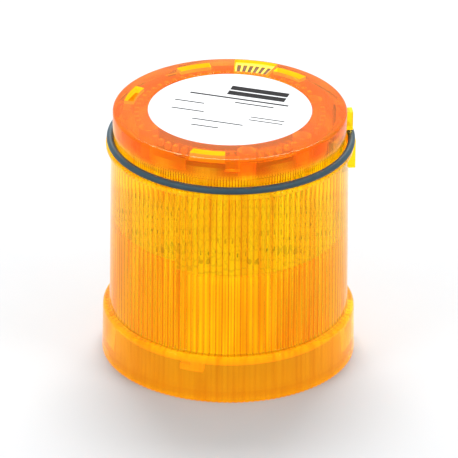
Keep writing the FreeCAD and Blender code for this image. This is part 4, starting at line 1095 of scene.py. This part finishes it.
@dataclass
class Studio:
    """The pale floor, the soft light and the camera."""

    camera_distance: float = 1.6
    camera_elevation: float = 27.1
    aim_height: float = 35.37 * MM
    roll: float = 0.49
    lens: float = 456.8
    floor_radius: float = 3.0
    # name, place, power in watts and size of each soft box
    boxes: tuple[tuple[str, tuple, float, float], ...] = (
        ("left_box", (-0.7, -0.6, 0.7), 3.6, 0.35),
        ("right_box", (0.75, -0.5, 0.75), 3.6, 0.35),
        ("top_box", (0.0, 0.6, 0.95), 17.0, 0.6),
    )

    def build(self) -> None:
        """Builds the whole studio."""
        self.build_world()
        self.build_floor()
        self.build_lights()
        self.build_camera()

    def build_world(self) -> None:
        """An even white surround."""
        world = bpy.data.worlds.new("studio")
        world.use_nodes = True
        backdrop = world.node_tree.nodes["Background"]
        backdrop.inputs["Color"].default_value = (1.0, 1.0, 1.0, 1.0)
        backdrop.inputs["Strength"].default_value = 1.0
        bpy.context.scene.world = world
        bpy.context.scene.view_settings.view_transform = "Standard"

    def build_floor(self) -> None:
        """A plain pale floor."""
        bm = bmesh.new()
        bmesh.ops.create_circle(bm, cap_ends=True, segments=64, radius=self.floor_radius)
        mesh = bpy.data.meshes.new("floor")
        bm.to_mesh(mesh)
        bm.free()
        floor = bpy.data.objects.new("floor", mesh)
        bpy.context.scene.collection.objects.link(floor)
        paint = Finish("studio_floor", (0.42, 0.43, 0.44), (0.415, 0.425, 0.435), (0.8, 0.9),
                       scale=3.0, scuff=0.0, bump=0.0)
        material = paint.build()
        self.open_from_below(material)
        mesh.materials.append(material)

    def open_from_below(self, material: Material) -> None:
        """Makes the floor clear from its underside, so that the element's foot can be seen."""
        tree = Tree(material.node_tree)
        output = material.node_tree.nodes["Material Output"]
        paint = output.inputs["Surface"].links[0].from_socket
        mixer = tree.add("MixShader")
        tree.link(tree.add("NewGeometry").outputs["Backfacing"], mixer.inputs[0])
        tree.link(paint, mixer.inputs[1])
        tree.link(tree.add("BsdfTransparent").outputs[0], mixer.inputs[2])
        tree.link(mixer.outputs[0], output.inputs["Surface"])

    def build_lights(self) -> None:
        """Two soft boxes in front and a larger one above."""
        for name, spot, power, size in self.boxes:
            light = bpy.data.lights.new(name, "AREA")
            light.shape = "SQUARE"
            light.size = size
            light.energy = power
            lamp = bpy.data.objects.new(name, light)
            lamp.location = spot
            aim = Vector((0, 0, self.aim_height)) - lamp.location
            lamp.rotation_euler = aim.to_track_quat("-Z", "Y").to_euler()
            bpy.context.scene.collection.objects.link(lamp)

    def build_camera(self) -> None:
        """The camera, a long lens from the front and above."""
        data = bpy.data.cameras.new("camera")
        data.lens = self.lens
        data.sensor_width = 36.0
        data.clip_end = 20.0
        camera = bpy.data.objects.new("camera", data)
        tilt = math.radians(self.camera_elevation)
        aim = Vector((0, 0, self.aim_height))
        away = Vector((0, -math.cos(tilt), math.sin(tilt)))
        camera.location = aim + away * self.camera_distance
        look = (-away).to_track_quat("-Z", "Y").to_matrix().to_4x4()
        roll = Matrix.Rotation(math.radians(self.roll), 4, "Z")
        camera.rotation_euler = (look @ roll).to_euler()
        bpy.context.scene.collection.objects.link(camera)
        bpy.context.scene.camera = camera


def main() -> None:
    """Builds the studio and every sub-assembly in order."""
    logging.basicConfig(level=logging.INFO, format="%(name)s: %(message)s")
    parts = (Studio(), LensHousing(), SealRing(), TopLabel(), SideStrip(), ContactSprings(),
             InnerWorks())
    for part in parts:
        part.build()
        log.info("finished %s", type(part).__name__)


if __name__ == "__main__":
    main()
